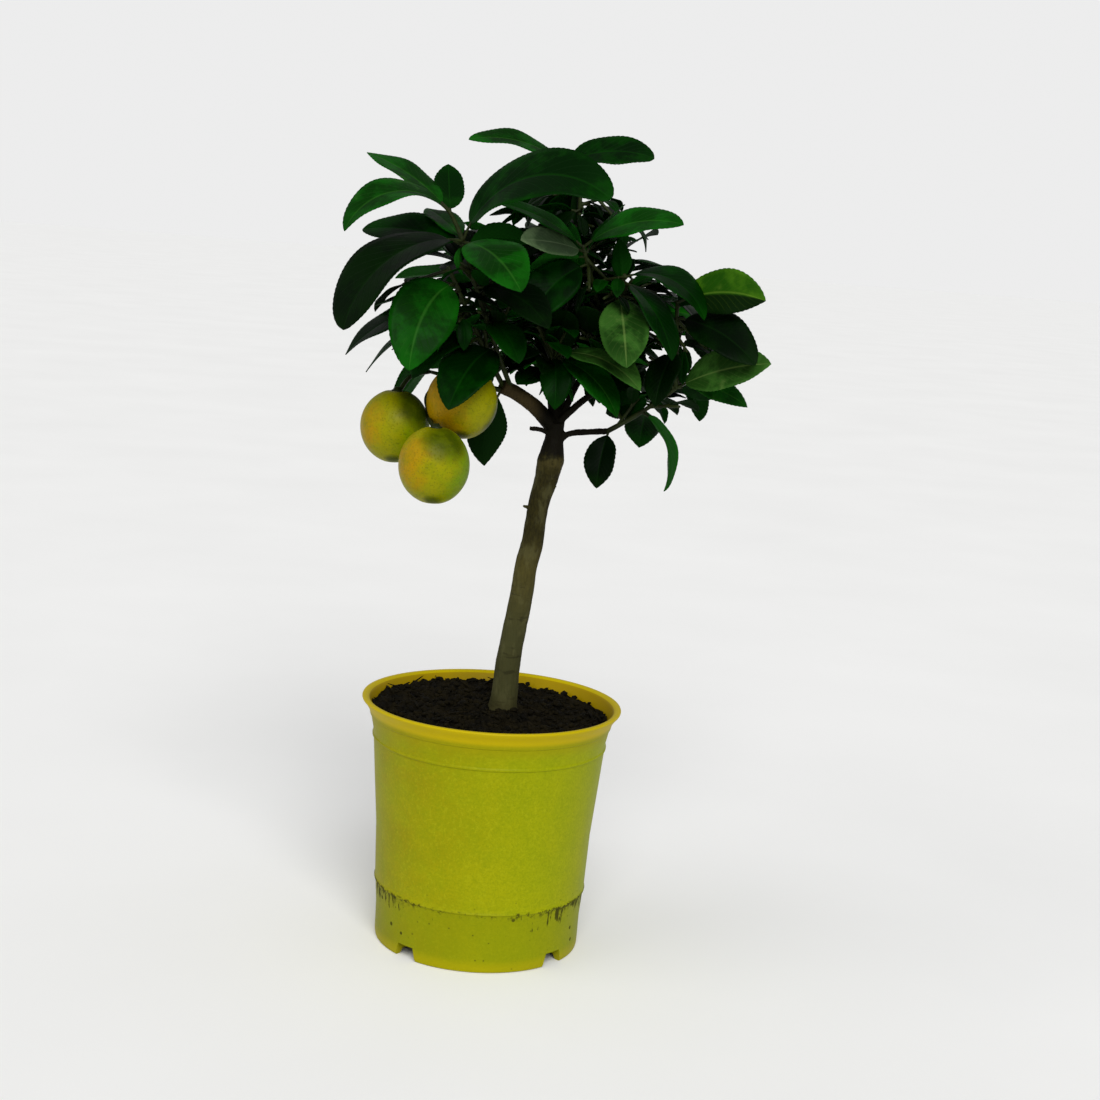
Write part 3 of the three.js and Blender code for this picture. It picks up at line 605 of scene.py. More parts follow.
class Pile:
    """Gathers vertices, faces and values per vertex of many small pieces for one mesh."""

    def __init__(self):
        self.points, self.faces, self.values, self.count = [], [], {}, 0

    def add(self, points, faces, **values):
        points = np.asarray(points, float)
        self.points.append(points)
        self.faces += [[i + self.count for i in face] for face in faces]
        for key, value in values.items():
            value = np.asarray(value, float)
            if value.ndim == 0:
                value = np.full(len(points), float(value))
            self.values.setdefault(key, []).append(value)
        self.count += len(points)

    def build(self, name):
        mesh = bpy.data.meshes.new(name)
        mesh.from_pydata((np.vstack(self.points) * MM).tolist(), [], self.faces)
        index = np.zeros(len(mesh.loops), int)
        mesh.loops.foreach_get("vertex_index", index)
        for key, parts in self.values.items():
            value = np.concatenate(parts)
            if value.ndim == 2:
                mesh.uv_layers.new(name=key).data.foreach_set("uv", value[index].ravel())
            else:
                mesh.attributes.new(key, "FLOAT", "POINT").data.foreach_set("value", value)
        mesh.update()
        piece = bpy.data.objects.new(name, mesh)
        bpy.context.scene.collection.objects.link(piece)
        pick(piece)
        bpy.ops.object.shade_smooth()
        return piece


def pick(piece):
    """Makes one piece the selected and active one."""
    bpy.ops.object.select_all(action="DESELECT")
    piece.select_set(True)
    bpy.context.view_layer.objects.active = piece


def taken_apart(model):
    """The vertices and faces of a model, which is removed."""
    points = np.array([vertex.co for vertex in model.data.vertices])
    faces = [list(face.vertices) for face in model.data.polygons]
    bpy.data.objects.remove(model)
    return points, faces


def finish(piece, material, nodes=()):
    """Gives a piece its material and its place in the frame."""
    piece.data.materials.clear()
    piece.data.materials.append(material)
    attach(piece, "root")
    if nodes:
        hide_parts(*nodes)


def lathe(name, profile, sides):
    """A round piece: a filled circle extruded and resized ring by ring along the profile."""
    bpy.ops.object.select_all(action="DESELECT")
    radius, height = profile[0]
    bpy.ops.mesh.primitive_circle_add(vertices=sides, radius=radius * MM, fill_type="NGON")
    piece = bpy.context.object
    piece.name = piece.data.name = name
    bpy.ops.object.mode_set(mode="EDIT")
    bpy.ops.mesh.select_all(action="SELECT")
    bpy.ops.transform.translate(value=(0, 0, height * MM))
    for (r0, z0), (r1, z1) in zip(profile, profile[1:]):
        step = {"value": (0, 0, (z1 - z0) * MM)}
        bpy.ops.mesh.extrude_region_move(TRANSFORM_OT_translate=step)
        bpy.ops.transform.resize(value=(r1 / r0, r1 / r0, 1), center_override=(0, 0, z1 * MM))
    bpy.ops.mesh.select_all(action="SELECT")
    bpy.ops.mesh.normals_make_consistent(inside=False)
    bpy.ops.object.mode_set(mode="OBJECT")
    return piece


def apply(piece, kind, **settings):
    """Adds a modifier and applies it."""
    pick(piece)
    modifier = piece.modifiers.new(kind.title(), kind)
    for key, value in settings.items():
        setattr(modifier, key, value)
    bpy.ops.object.modifier_apply(modifier=modifier.name)


def smooth_line(rows, steps):
    """Rows of any width on a smooth curve through the given ones."""
    p = np.array(rows, float)
    p = np.vstack((2 * p[0] - p[1], p, 2 * p[-1] - p[-2]))
    line = []
    for i in range(1, len(p) - 2):
        a, b, c, d = p[i - 1:i + 3]
        for t in np.arange(steps) / steps:
            square, cube = 2 * a - 5 * b + 4 * c - d, 3 * b - a - 3 * c + d
            line.append((2 * b + (c - a) * t + square * t**2 + cube * t**3) / 2)
    line.append(p[-2])
    return np.array(line)


def tube(points, radii, sides):
    """A closed tube with points at both ends."""
    points = np.asarray(points, float)
    along = np.gradient(points, axis=0)
    along /= np.linalg.norm(along, axis=1)[:, None]
    across = np.cross(along[0], (0.2, 1, 0.1))
    turn = (np.arange(sides) * 2 * math.pi / sides)[:, None]
    verts = [points[0]]
    for point, way, radius in zip(points, along, radii):
        across = across - way * np.dot(across, way)
        across /= np.linalg.norm(across)
        ring = np.cos(turn) * across + np.sin(turn) * np.cross(way, across)
        verts += list(point + radius * ring)
    verts.append(points[-1])
    faces = [[0, 1 + (k + 1) % sides, 1 + k] for k in range(sides)]
    for i in range(len(points) - 1):
        a, b = 1 + i * sides, 1 + (i + 1) * sides
        for k in range(sides):
            n = (k + 1) % sides
            faces.append([a + k, a + n, b + n, b + k])
    end = 1 + len(points) * sides
    faces += [[end, end - sides + k, end - sides + (k + 1) % sides] for k in range(sides)]
    return np.array(verts), faces


def leaf_blade(leaf, spacing, thickness, draw):
    """One leaf: midrib channel, wavy blade and a finely scalloped margin, closed all round."""
    rows = max(LEAST_ROWS, int(leaf.length * (1 - PETIOLE_SHARE) / spacing))
    v = np.linspace(BLADE_START, 1, rows + 1)
    share = PETIOLE_SHARE + (1 - PETIOLE_SHARE) * v
    u, t = v[:, None], COLUMNS[None]
    size = np.abs(t)
    half = np.maximum(leaf.half(share), np.interp(v, *LEAST_HALF))[:, None]
    phases = draw.uniform(0, 2 * math.pi, 4)
    notch = 1 - np.abs(np.sin(math.pi * (leaf.length / SCALLOP) * u + SCALLOP_START))
    rim = half - SCALLOP_DEPTH * notch * np.clip(half / 4, 0, 1)
    right, left = t < 0, t >= 0
    sway = (right * np.sin(RIM_WAVES[0] * u + phases[1])
            + left * np.sin(RIM_WAVES[1] * u + phases[0]))
    across = t * rim * (1 + RIM_SWAY * sway)
    wave = (right * np.sin(BLADE_WAVES[0] * u + phases[2])
            + left * np.sin(BLADE_WAVES[1] * u + phases[3]))
    lift = draw.uniform(*FOLD) * half * size**FOLD_POWER
    lift = lift + wave * size**2 * np.minimum(half * WAVE_SHARE, WAVE_LIMIT)
    lift = lift - CHANNEL * (size < MIDRIB) * np.sin(math.pi * u)
    thick = thickness * (1 - EDGE_THINNER * size**4) / 2
    rib = RIB * (size < MIDRIB) * (1 - u)
    _, side, face = leaf.frame(share)
    base = leaf.at(share)[:, None] + side[:, None] * across[..., None]
    upper = base + face[:, None] * (lift + thick)[..., None]
    lower = base + face[:, None] * (lift - thick - rib)[..., None]
    points = np.vstack((upper.reshape(-1, 3), lower.reshape(-1, 3)))
    uv = np.stack(np.broadcast_arrays(t / 2 + 0.5, u), -1).reshape(-1, 2)
    m = len(COLUMNS)
    under = (rows + 1) * m
    faces = []
    for i in range(rows):
        for j in range(m - 1):
            a, b, c, d = i * m + j, i * m + j + 1, (i + 1) * m + j + 1, (i + 1) * m + j
            faces += [[d, c, b, a], [under + b, under + c, under + d, under + a]]
        for j, flip in ((0, False), (m - 1, True)):
            a, b = i * m + j, (i + 1) * m + j
            faces.append([b, under + b, under + a, a] if flip else [under + a, under + b, b, a])
    for j in range(m - 1):
        a = rows * m + j
        faces += [[j + 1, under + j + 1, under + j, j], [under + a, under + a + 1, a + 1, a]]
    return points, faces, np.vstack((uv, uv)), np.repeat((0, 1), under)


# Materials
# Each leaf colour: its dark parts, its lighter parts, which the painted sheen brings out, its
# veins, whose colour the pale painted sheen also takes, and its underside
LEAF_COLOURS = {
    # The next row is painted shade: a near-black copy of the leaf green for leaves in the crown's
    # shade
    "deep": ((0, 8, 0), (3, 25, 0), (11, 38, 5), (5, 29, 2)),
    "dark": ((0, 20, 0), (4, 50, 0), (14, 62, 6), (6, 48, 2)),
    "mid": ((3, 36, 0), (13, 80, 7), (52, 106, 32), (18, 76, 12)),
    # The next row is a painted sheen: pale grey-green for a leaf that reflects the light
    "silver": ((12, 36, 12), (88, 110, 74), (112, 130, 96), (30, 70, 26)),
    "bright": ((6, 34, 3), (58, 102, 36), (120, 146, 76), (40, 98, 26)),
    # The next row paints shade on half of a leaf: its underside colour covers one half of the blade
    "lime": ((16, 60, 2), (60, 102, 14), (100, 130, 40), (6, 26, 2)),
}
# Veins to each side of a leaf's midrib, and how far they lean towards its tip
VEINS, VEIN_LEAN = 11, 0.55
# Heights in metres between which a part of the pot's or the bark's look sets in
POT_BANDS = {
    "shoulder_shade_tint": (0.166, 0.176), "lip": (0.1775, 0.1818), "inside": (0.1, 0.12),
    "foot": (0.0475, 0.045), "sole": (0.012, 0.003), "specks": (0.09, 0.03),
    "spots": (0.05, 0.04), "line_foot": (0.040, 0.0462), "line_top": (0.0486, 0.0468),
    "runs_foot": (0.026, 0.044), "runs_top": (0.0482, 0.0465),
}
BARK_BANDS = {
    "middle": (0.325, 0.295), "lower": (0.3, 0.24), "boughs": (0.402, 0.412),
    "foot": (0.2, 0.185),
}
# The dark fork band is painted shade, that of the crown over the fork
FORK_BANDS = {"pale_foot": (0.368, 0.378), "pale_top": (0.382, 0.379), "dark": (0.377, 0.387)}


def colour(red, green, blue):
    """A screen colour from 0 to 255 as the renderer wants it."""
    shares = [c / 255 for c in (red, green, blue)]
    return tuple(c / 12.92 if c <= 0.04045 else ((c + 0.055) / 1.055) ** 2.4 for c in shares) + (1,)


class Graph:
    """Short calls for a node tree."""

    def __init__(self, tree):
        self.tree = tree

    def feed(self, made, inputs):
        """Links a node's inputs or sets their values."""
        for key, value in inputs.items():
            if isinstance(value, bpy.types.NodeSocket):
                self.tree.links.new(value, made.inputs[key])
            else:
                made.inputs[key].default_value = value
        return made

    def node(self, kind, inputs=(), **settings):
        made = self.tree.nodes.new(kind)
        for key, value in settings.items():
            setattr(made, key, value)
        return self.feed(made, dict(inputs))

    def math(self, operation, *values, clamp=False):
        """An operation on one value, or on two or more in turn."""
        made = self.node("ShaderNodeMath", enumerate(values[:2]), operation=operation,
                         use_clamp=clamp).outputs[0]
        return self.math(operation, made, *values[2:], clamp=clamp) if values[2:] else made

    def times(self, *values):
        return self.math("MULTIPLY", *values)

    def plus(self, *values, clamp=False):
        return self.math("ADD", *values, clamp=clamp)

    def minus(self, *values):
        return self.math("SUBTRACT", *values)

    def most(self, *values):
        return self.math("MAXIMUM", *values)

    def span(self, value, low, high, to=(0, 1)):
        """The value's way from low to high as 0 to 1."""
        inputs = {0: value, 1: low, 2: high, 3: to[0], 4: to[1]}
        return self.node("ShaderNodeMapRange", inputs, interpolation_type="SMOOTHSTEP").outputs[0]

    def bands(self, value, spans):
        """Named spans of one value."""
        return {key: self.span(value, *ends) for key, ends in spans.items()}

    def mix(self, factor, one, two):
        inputs = {0: factor, 6: one, 7: two}
        return self.node("ShaderNodeMix", inputs, data_type="RGBA").outputs[2]

    def layers(self, base, *rows):
        """Shades over a base one after the other, each with its mask and strength."""
        for mask, strength, shade in rows:
            base = self.mix(self.times(mask, strength), base, shade)
        return base

    def noise(self, vector, scale, detail=3, rough=0.5):
        inputs = {"Vector": vector, "Scale": scale, "Detail": detail, "Roughness": rough}
        return self.node("ShaderNodeTexNoise", inputs).outputs["Fac"]

    def cells(self, vector, scale):
        return self.node("ShaderNodeTexVoronoi", {"Vector": vector, "Scale": scale}).outputs

    def stretch(self, vector, scale):
        inputs = {0: vector, 1: scale}
        return self.node("ShaderNodeVectorMath", inputs, operation="MULTIPLY").outputs[0]

    def apart(self, vector):
        """The three parts of a vector."""
        return self.node("ShaderNodeSeparateXYZ", {0: vector}).outputs

    def stored(self, name):
        """A value stored with the mesh."""
        return self.node("ShaderNodeAttribute", attribute_name=name).outputs["Fac"]

    def use(self, group, **inputs):
        inputs = {key.replace("_", " "): value for key, value in inputs.items()}
        return self.feed(self.node("ShaderNodeGroup", node_tree=group), inputs).outputs

    def patches(self, place, scale, low, high):
        return self.use(patches_group(), Vector=place, Scale=scale, Low=low, High=high)["Mask"]

    def specks(self, place, scale, size, share):
        return self.use(specks_group(), Vector=place, Scale=scale, Size=size, Share=share)["Mask"]


def group(name, inputs, outputs, build):
    """A node group with named sockets; build gets the graph and the inputs, gives the outputs."""
    if name in bpy.data.node_groups:
        return bpy.data.node_groups[name]
    tree = bpy.data.node_groups.new(name, "ShaderNodeTree")
    for key, value in inputs.items():
        kind = "Vector" if value is None else "Color" if isinstance(value, tuple) else "Float"
        socket = tree.interface.new_socket(key, in_out="INPUT", socket_type="NodeSocket" + kind)
        if value is not None:
            socket.default_value = value
    for key in outputs:
        kind = "NodeSocketColor" if key == "Color" else "NodeSocketFloat"
        tree.interface.new_socket(key, in_out="OUTPUT", socket_type=kind)
    source = tree.nodes.new("NodeGroupInput")
    sink = tree.nodes.new("NodeGroupOutput")
    graph = Graph(tree)
    graph.feed(sink, build(graph, source.outputs))
    return tree


def material(name, specular):
    """A material, its graph and the object coordinates."""
    made = bpy.data.materials.new(name)
    made.use_nodes = True
    made.node_tree.nodes["Principled BSDF"].inputs["Specular IOR Level"].default_value = specular
    graph = Graph(made.node_tree)
    return made, graph, graph.node("ShaderNodeTexCoord").outputs["Object"]


def dress(graph, base, roughness, height, strength, distance):
    """Links the varying colour, roughness and bump."""
    bump = graph.node("ShaderNodeBump",
                      {"Height": height, "Strength": strength, "Distance": distance})
    graph.feed(graph.tree.nodes["Principled BSDF"],
               {"Base Color": base, "Roughness": roughness, "Normal": bump.outputs[0]})


def patches_group():
    """Soft-edged patches of noise."""
    def build(g, i):
        fac = g.noise(i["Vector"], i["Scale"], 5, 0.6)
        return {"Mask": g.span(fac, i["Low"], i["High"])}
    inputs = {"Vector": None, "Scale": 50.0, "Low": 0.4, "High": 0.6}
    return group("Patches", inputs, ["Mask"], build)


def specks_group():
    """Small round specks scattered thinly."""
    def build(g, i):
        cells = g.cells(i["Vector"], i["Scale"])
        dot = g.span(cells["Distance"], i["Size"], 0.0)
        chance = g.node("ShaderNodeSeparateColor", {0: cells["Color"]}).outputs[0]
        return {"Mask": g.times(dot, g.math("LESS_THAN", chance, i["Share"]))}
    inputs = {"Vector": None, "Scale": 400.0, "Size": 0.3, "Share": 0.2}
    return group("Specks", inputs, ["Mask"], build)


def leaf_group():
    """Colour, roughness and height of a leaf from its own map."""
    def build(g, i):
        wide, long, _ = g.apart(i["Map"])
        across = g.math("ABSOLUTE", g.minus(wide, 0.5))
        midrib = g.span(across, 0.035, 0.008)
        slant = g.minus(long, g.times(g.math("POWER", across, 0.8), VEIN_LEAN))
        rows = g.math("ABSOLUTE", g.minus(g.math("FRACT", g.times(slant, VEINS)), 0.5))
        veins = g.times(g.span(rows, 0.42, 0.5), g.span(across, 0.48, 0.3))
        net = g.noise(i["Place"], 900, 2, 0.6)
        # Painted sheen: soft patches of the lighter colour, and a lighter rim and tip; the stored
        # tone is each leaf's own
        sheen_patches = g.patches(i["Place"], 32.0, 0.44, 0.6)
        # Painted sheen: pale patches in the vein colour
        pale_sheen = g.patches(i["Place"], 24.0, 0.6, 0.72)
        edge = g.most(g.span(across, 0.36, 0.5), g.span(long, 0.7, 1.0))
        tone = g.plus(g.times(sheen_patches, 0.55), g.times(i["Tone"], 0.25), g.times(edge, 0.3),
                      clamp=True)
        upper = g.layers(
            g.mix(tone, i["Deep"], i["Light"]),
            # Painted shade: one half of the blade in the underside colour where this input is on
            (i["Split"], g.span(wide, 0.5, 0.42), i["Beneath"]),
            # Pale painted sheen in the vein colour
            (pale_sheen, 0.35, i["Vein"]),
            (g.most(midrib, g.times(veins, 0.3)), 0.3, i["Vein"]),
        )
        lower = g.layers(i["Beneath"], (g.most(midrib, veins), 0.2, i["Vein"]))
        return {
            "Color": g.mix(i["Under"], upper, lower),
            "Roughness": g.plus(g.times(net, 0.16), g.times(i["Under"], 0.2), i["Gloss"]),
            "Height": g.minus(g.times(net, 0.35), g.most(veins, midrib)),
        }
    black = (0, 0, 0, 1)
    inputs = {
        "Map": None, "Place": None, "Tone": 0.5, "Under": 0.0, "Gloss": 0.3, "Split": 0.0,
        "Deep": black, "Light": black, "Vein": black, "Beneath": black,
    }
    return group("Leaf Surface", inputs, ["Color", "Roughness", "Height"], build)


def leaf_material(kind, settings):
    made, g, place = material("leaf_" + kind, 0.03)
    deep, light, vein_and_sheen, beneath = (colour(*c) for c in LEAF_COLOURS[kind])
    if kind == "dark":
        light = settings.leaf_colour
    uv = g.node("ShaderNodeUVMap", uv_map="LeafMap").outputs[0]
    out = g.use(leaf_group(), Map=uv, Place=place, Tone=g.stored("tone"), Under=g.stored("under"),
                Gloss=0.36, Split=float(kind == "lime"), Deep=deep, Light=light, Vein=vein_and_sheen,
                Beneath=beneath)
    dress(g, out["Color"], out["Roughness"], out["Height"], 0.35, 0.0004)
    return made


def pot_material(settings):
    made, g, place = material("olive_plastic", 0.07)
    x, _, z = g.apart(place)
    band = g.bands(z, POT_BANDS)
    grain = g.noise(place, 620.0, 3, 0.7)
    pale = g.noise(place, 380.0, 4, 0.75)
    fine = g.noise(place, 1400.0, 2, 0.5)
    # The inside starts where the radius is less than that of the leaning wall
    radius = g.node("ShaderNodeVectorMath", {0: g.stretch(place, (1, 1, 0))},
                    operation="LENGTH").outputs["Value"]
    wall = g.plus(g.times(g.minus(z, 0.16), 0.2), 0.0885)
    inside = g.times(g.math("LESS_THAN", radius, wall), band["inside"])
    # Darker and more ochre on the left, lighter on the right: partly painted light and shade across
    # the pot, partly an ochre tint of the plastic
    body = g.layers(
        g.mix(g.span(x, -0.09, 0.07), colour(134, 124, 0), settings.pot_colour),
        (g.patches(place, 22.0, 0.3, 0.72), 0.55, colour(152, 152, 0)),
        (g.patches(place, 70.0, 0.36, 0.66), 0.3, colour(124, 138, 0)),
        (g.span(grain, 0.42, 0.66), 0.45, colour(116, 126, 0)),
        (g.span(pale, 0.5, 0.66), 0.3, colour(166, 168, 20)),
        # Painted shade tint: the band under the lip is tinted ochre to stand in for the colour of
        # its shade
        (band["shoulder_shade_tint"], 0.45, colour(146, 134, 0)),
        (band["lip"], 0.85, settings.lip_colour),
        (inside, 0.9, colour(150, 124, 0)),
        (band["foot"], 0.45, colour(118, 124, 0)),
        (band["sole"], 0.5, colour(168, 154, 0)),
    )
    # Dirt: a broken line at the step, runs under it towards both sides, specks and spots
    ends = g.plus(g.span(x, 0.0, 0.078), g.span(x, -0.01, -0.078), clamp=True)
    broken = g.span(g.plus(g.times(ends, 0.1), g.noise(place, 260.0, 4, 0.7)), 0.55, 0.67)
    line = g.times(band["line_foot"], band["line_top"], broken)
    fall = g.times(band["runs_foot"], band["runs_top"])
    clump = g.times(g.minus(g.noise(place, 45.0, 3, 0.5), 0.5), 0.35)
    runs = g.minus(g.noise(g.stretch(place, (1, 1, 0.22)), 330.0, 3, 0.6), 0.5)
    runs = g.span(g.plus(runs, g.times(fall, ends, 0.19), clump), 0.19, 0.24)
    specks = g.times(g.specks(place, 330.0, 0.34, 0.06), band["specks"])
    spots = g.times(g.span(g.specks(place, 110.0, 0.3, 0.2), 0.2, 0.6), band["spots"])
    dirt = g.most(line, g.times(runs, g.span(fall, 0.0, 0.25)), specks, spots)
    base = g.layers(body, (dirt, 0.85, colour(38, 34, 10)))
    rough = g.plus(g.times(fine, 0.12), 0.42, g.times(dirt, 0.3), clamp=True)
    dress(g, base, rough, g.plus(g.times(fine, 0.5), g.times(grain, 0.6)), 0.25, 0.0003)
    return made


def soil_material(settings):
    made, g, place = material("potting_soil", 0.06)
    damp = g.patches(place, 70.0, 0.35, 0.65)
    grain = g.noise(place, 700.0, 5, 0.65)
    # Darker where damp; the lighter colour on the tops of the grain's bumps is a painted highlight
    base = g.layers(g.mix(damp, colour(5, 4, 1), settings.soil_colour),
                    (g.span(grain, 0.56, 0.8), 0.6, colour(62, 54, 30)))
    dress(g, base, g.span(damp, 0, 1, (0.7, 0.95)), grain, 0.7, 0.0012)
    return made


def bark_material(settings):
    made, g, place = material("bark", 0.07)
    x, _, z = g.apart(place)
    band = g.bands(z, BARK_BANDS)
    # The fork's bands have a ragged edge. The dark band is painted shade: near-black bark at the
    # fork and on the boughs under the crown
    ragged = g.times(g.minus(g.noise(place, 160.0, 3, 0.6), 0.5), 0.02)
    fork = g.bands(g.plus(z, ragged), FORK_BANDS)
    grain = g.noise(g.stretch(place, (1, 1, 0.3)), 800.0, 5, 0.65)
    lichen = g.patches(g.stretch(place, (1, 1, 0.5)), 120.0, 0.48, 0.66)
    ring = g.noise(g.stretch(place, (0.3, 0.3, 1)), 210.0, 3, 0.6)
    base = g.layers(
        g.mix(g.span(grain, 0.3, 0.7), colour(30, 27, 9), colour(46, 42, 15)),
        (band["middle"], g.span(grain, 0.2, 0.8, (0.5, 0.9)), settings.bark_colour),
        (band["lower"], 0.7, colour(56, 58, 34)),
        (lichen, 0.35, colour(86, 84, 52)),
        (g.span(ring, 0.6, 0.7), 0.45, colour(22, 20, 8)),
        (g.times(fork["pale_foot"], fork["pale_top"]), 0.5, colour(74, 67, 34)),
        # Painted shade: near-black bark at and above the fork, under the crown
        (fork["dark"], 0.95, colour(9, 7, 3)),
        (g.times(band["boughs"], g.span(x, 0.026, 0.012)), 0.8,
         g.mix(grain, colour(38, 30, 16), colour(78, 66, 38))),
        (band["foot"], 0.6, colour(46, 42, 20)),
    )
    dress(g, base, g.span(grain, 0, 1, (0.6, 0.9)), grain, 0.4, 0.0005)
    return made


def twig_material():
    made, g, place = material("green_twig", 0.12)
    grain = g.noise(place, 500.0, 4, 0.6)
    patch = g.patches(place, 90.0, 0.4, 0.6)
    base = g.layers(g.mix(patch, colour(10, 22, 5), colour(26, 40, 10)),
                    (grain, 0.4, colour(60, 62, 28)))
    dress(g, base, g.span(grain, 0, 1, (0.4, 0.6)), grain, 0.4, 0.0003)
    return made


def fruit_material(settings):
    made, g, place = material("lemon_peel", 0.08)
    drift = g.times(g.minus(g.noise(place, 60.0, 4, 0.65), 0.5), 0.7)
    ripe = g.plus(g.stored("ripe"), drift)
    mottle = g.noise(place, 420.0, 4, 0.7)
    pore = g.span(g.cells(place, 560.0)["Distance"], 0.36, 0.05)
    base = g.mix(g.span(ripe, 0.15, 0.55), colour(104, 130, 0), settings.peel_colour)
    base = g.layers(
        g.mix(g.span(ripe, 0.65, 1.1), base, colour(158, 122, 0)),
        # Dark green patch: partly unripe green, partly painted shade
        (g.span(g.plus(g.stored("green"), drift), 0.2, 0.9), 0.85, colour(22, 46, 0)),
        (g.patches(place, 70.0, 0.52, 0.68), 0.35, colour(98, 110, 0)),
        (g.span(mottle, 0.45, 0.7), 0.3, colour(84, 92, 0)),
        (pore, 0.4, colour(76, 80, 0)),
    )
    rough = g.span(g.noise(place, 90.0, 2, 0.5), 0, 1, (0.32, 0.5))
    dress(g, base, rough, g.minus(g.noise(place, 160.0, 2, 0.5), pore), 0.45, 0.0006)
    return made


def floor_material():
    made, g, place = material("studio_floor", 0.1)
    haze = g.noise(place, 3.0, 3, 0.5)
    fine = g.noise(place, 220.0, 3, 0.5)
    base = g.mix(haze, colour(238, 238, 237), colour(246, 246, 245))
    dress(g, base, g.span(fine, 0, 1, (0.75, 0.9)), fine, 0.05, 0.0005)
    return made


# Settings
def tint(name, description, *screen):
    """A colour setting, with its default as screen values from 0 to 255."""
    return FloatVectorProperty(name=name, description=description, default=colour(*screen), size=4,
                               min=0, max=1, subtype="COLOR")


def length(name, description, default, low, high):
    """A length setting in metres."""
    return FloatProperty(name=name, description=description, default=default, min=low, max=high,
                         unit="LENGTH", precision=5)


def strength(name, description, default):
    """A setting for a light's strength."""
    return FloatProperty(name=name, description=description, default=default, min=0)


def count(name, description, default, low, high):
    """A setting for a number of things."""
    return IntProperty(name=name, description=description, default=default, min=low, max=high)


class LemonSettings(bpy.types.PropertyGroup):
    pot_colour: tint("Pot", "Plastic on the side away from the light", 142, 150, 0)
    lip_colour: tint("Lip", "Rolled lip of the pot", 186, 164, 0)
    soil_colour: tint("Soil", "Drier patches of the soil", 25, 21, 9)
    bark_colour: tint("Bark", "Middle of the trunk", 74, 68, 32)
    leaf_colour: tint("Leaf", "Lighter parts of most leaves", 4, 50, 0)
    peel_colour: tint("Peel", "Yellow of the lemons", 136, 134, 0)
    pot_sides: count("Pot sides", "Facets round the pot", 192, 24, 512)
    crumbs: count("Crumbs", "Loose crumbs of soil", 2600, 0, 6000)
    bark_voxel: length("Bark voxel", "Cell size that the limbs are fused at",
                       0.0007, 0.0004, 0.003)
    bark_relief: length("Bark relief", "Depth of the bark's ridges", 0.00028, 0, 0.002)
    leaf_spacing: length("Leaf spacing", "Distance between a leaf's rows of vertices",
                         0.0009, 0.0005, 0.01)
    leaf_thickness: length("Leaf thickness", "Thickness of a blade at its midrib",
                           0.0008, 0.0002, 0.002)
    twig_sides: count("Twig sides", "Facets round a twig", 8, 3, 24)
    seed: count("Seed", "Start of the scattered pieces' numbers", 7, 0, 9999)
    key_light: strength("Key light", "Strength of the soft light from the front", 2.3)
    fill_light: strength("Fill light", "Strength of the soft light from the left", 0.5)
    sky: strength("Sky", "Strength of the even light all round", 0.45)
    backdrop: strength("Backdrop", "Brightness of the backdrop as the camera sees it", 0.845)
    lens: FloatProperty(name="Lens", description="Focal length on a 36 mm sensor", default=62.18,
                        min=10, subtype="DISTANCE_CAMERA")
    camera_place: FloatVectorProperty(name="Camera place", description="Where the camera stands",
                                      default=(0.0358, -1.4238, 0.5512), unit="LENGTH",
                                      subtype="TRANSLATION")


# Pieces
class PieceOperator:
    """Shared by the operators: they run from the panel or the script and can be undone."""
    bl_options = {"REGISTER", "UNDO"}


def notch_cutter():
    """The wedge that cuts one foot notch, on the +X side."""
    tall, depth, foot = NOTCH["tall"], NOTCH["depth"], NOTCH["foot"]
    bpy.ops.object.select_all(action="DESELECT")
    bpy.ops.mesh.primitive_cube_add(size=1)
    cutter = bpy.context.object
    cutter.scale = Vector((depth, foot, tall + 1)) * MM
    cutter.location = Vector((NOTCH["radius"] + depth / 2, 0, (tall - 1) / 2)) * MM
    bpy.ops.object.transform_apply(location=True, scale=True)
    for vertex in cutter.data.vertices:
        if vertex.co.z > tall / 2 * MM:
            vertex.co.y *= NOTCH["top"] / foot
    return cutter


class LEMON_OT_pot(PieceOperator, bpy.types.Operator):
    """Build the olive nursery pot with its rolled rim, moulding lines and foot notches"""
    bl_idname = "lemon.pot"
    bl_label = "Nursery Pot"

    def execute(self, context):
        settings = context.scene.lemon
        pot = lathe("nursery_pot", POT_OUTER + POT_INNER, settings.pot_sides)
        for i in range(NOTCH["count"]):
            cutter = notch_cutter()
            cutter.rotation_euler.z = (NOTCH["heading"] + i * 360 / NOTCH["count"]) * DEG
            bpy.ops.object.transform_apply(rotation=True)
            apply(pot, "BOOLEAN", operation="DIFFERENCE", object=cutter, solver="EXACT")
            bpy.data.objects.remove(cutter)
        pick(pot)
        bpy.ops.object.shade_smooth_by_angle(angle=SMOOTH_ANGLE * DEG)
        finish(pot, pot_material(settings), ["pot"])
        return {"FINISHED"}


def soil_point(x, y):
    """A place on the soil in millimetres: heaped at the left and back, and out to the wall."""
    reach = math.hypot(x, y)
    mound = MOUND * math.exp(-((x - MOUND_AT) ** 2 + y**2) / MOUND_SPREAD)
    z = HEAP_TOP + HEAP_SLOPES[0] * x + HEAP_SLOPES[1] * y + mound
    z -= EDGE_DROP * (max(reach - EDGE_START, 0) / EDGE_WIDTH) ** 2
    z += sum(tall * noise.noise((x * often, y * often, layer)) for tall, often, layer in BUMPS)
    z = min(z, HEAP_LIMIT)
    wall = float(np.interp(z, *WALL)) - WALL_GAP
    out = 1 + (wall / SOIL_RADIUS - 1) * (reach / SOIL_RADIUS) ** 6
    return x * out, y * out, z


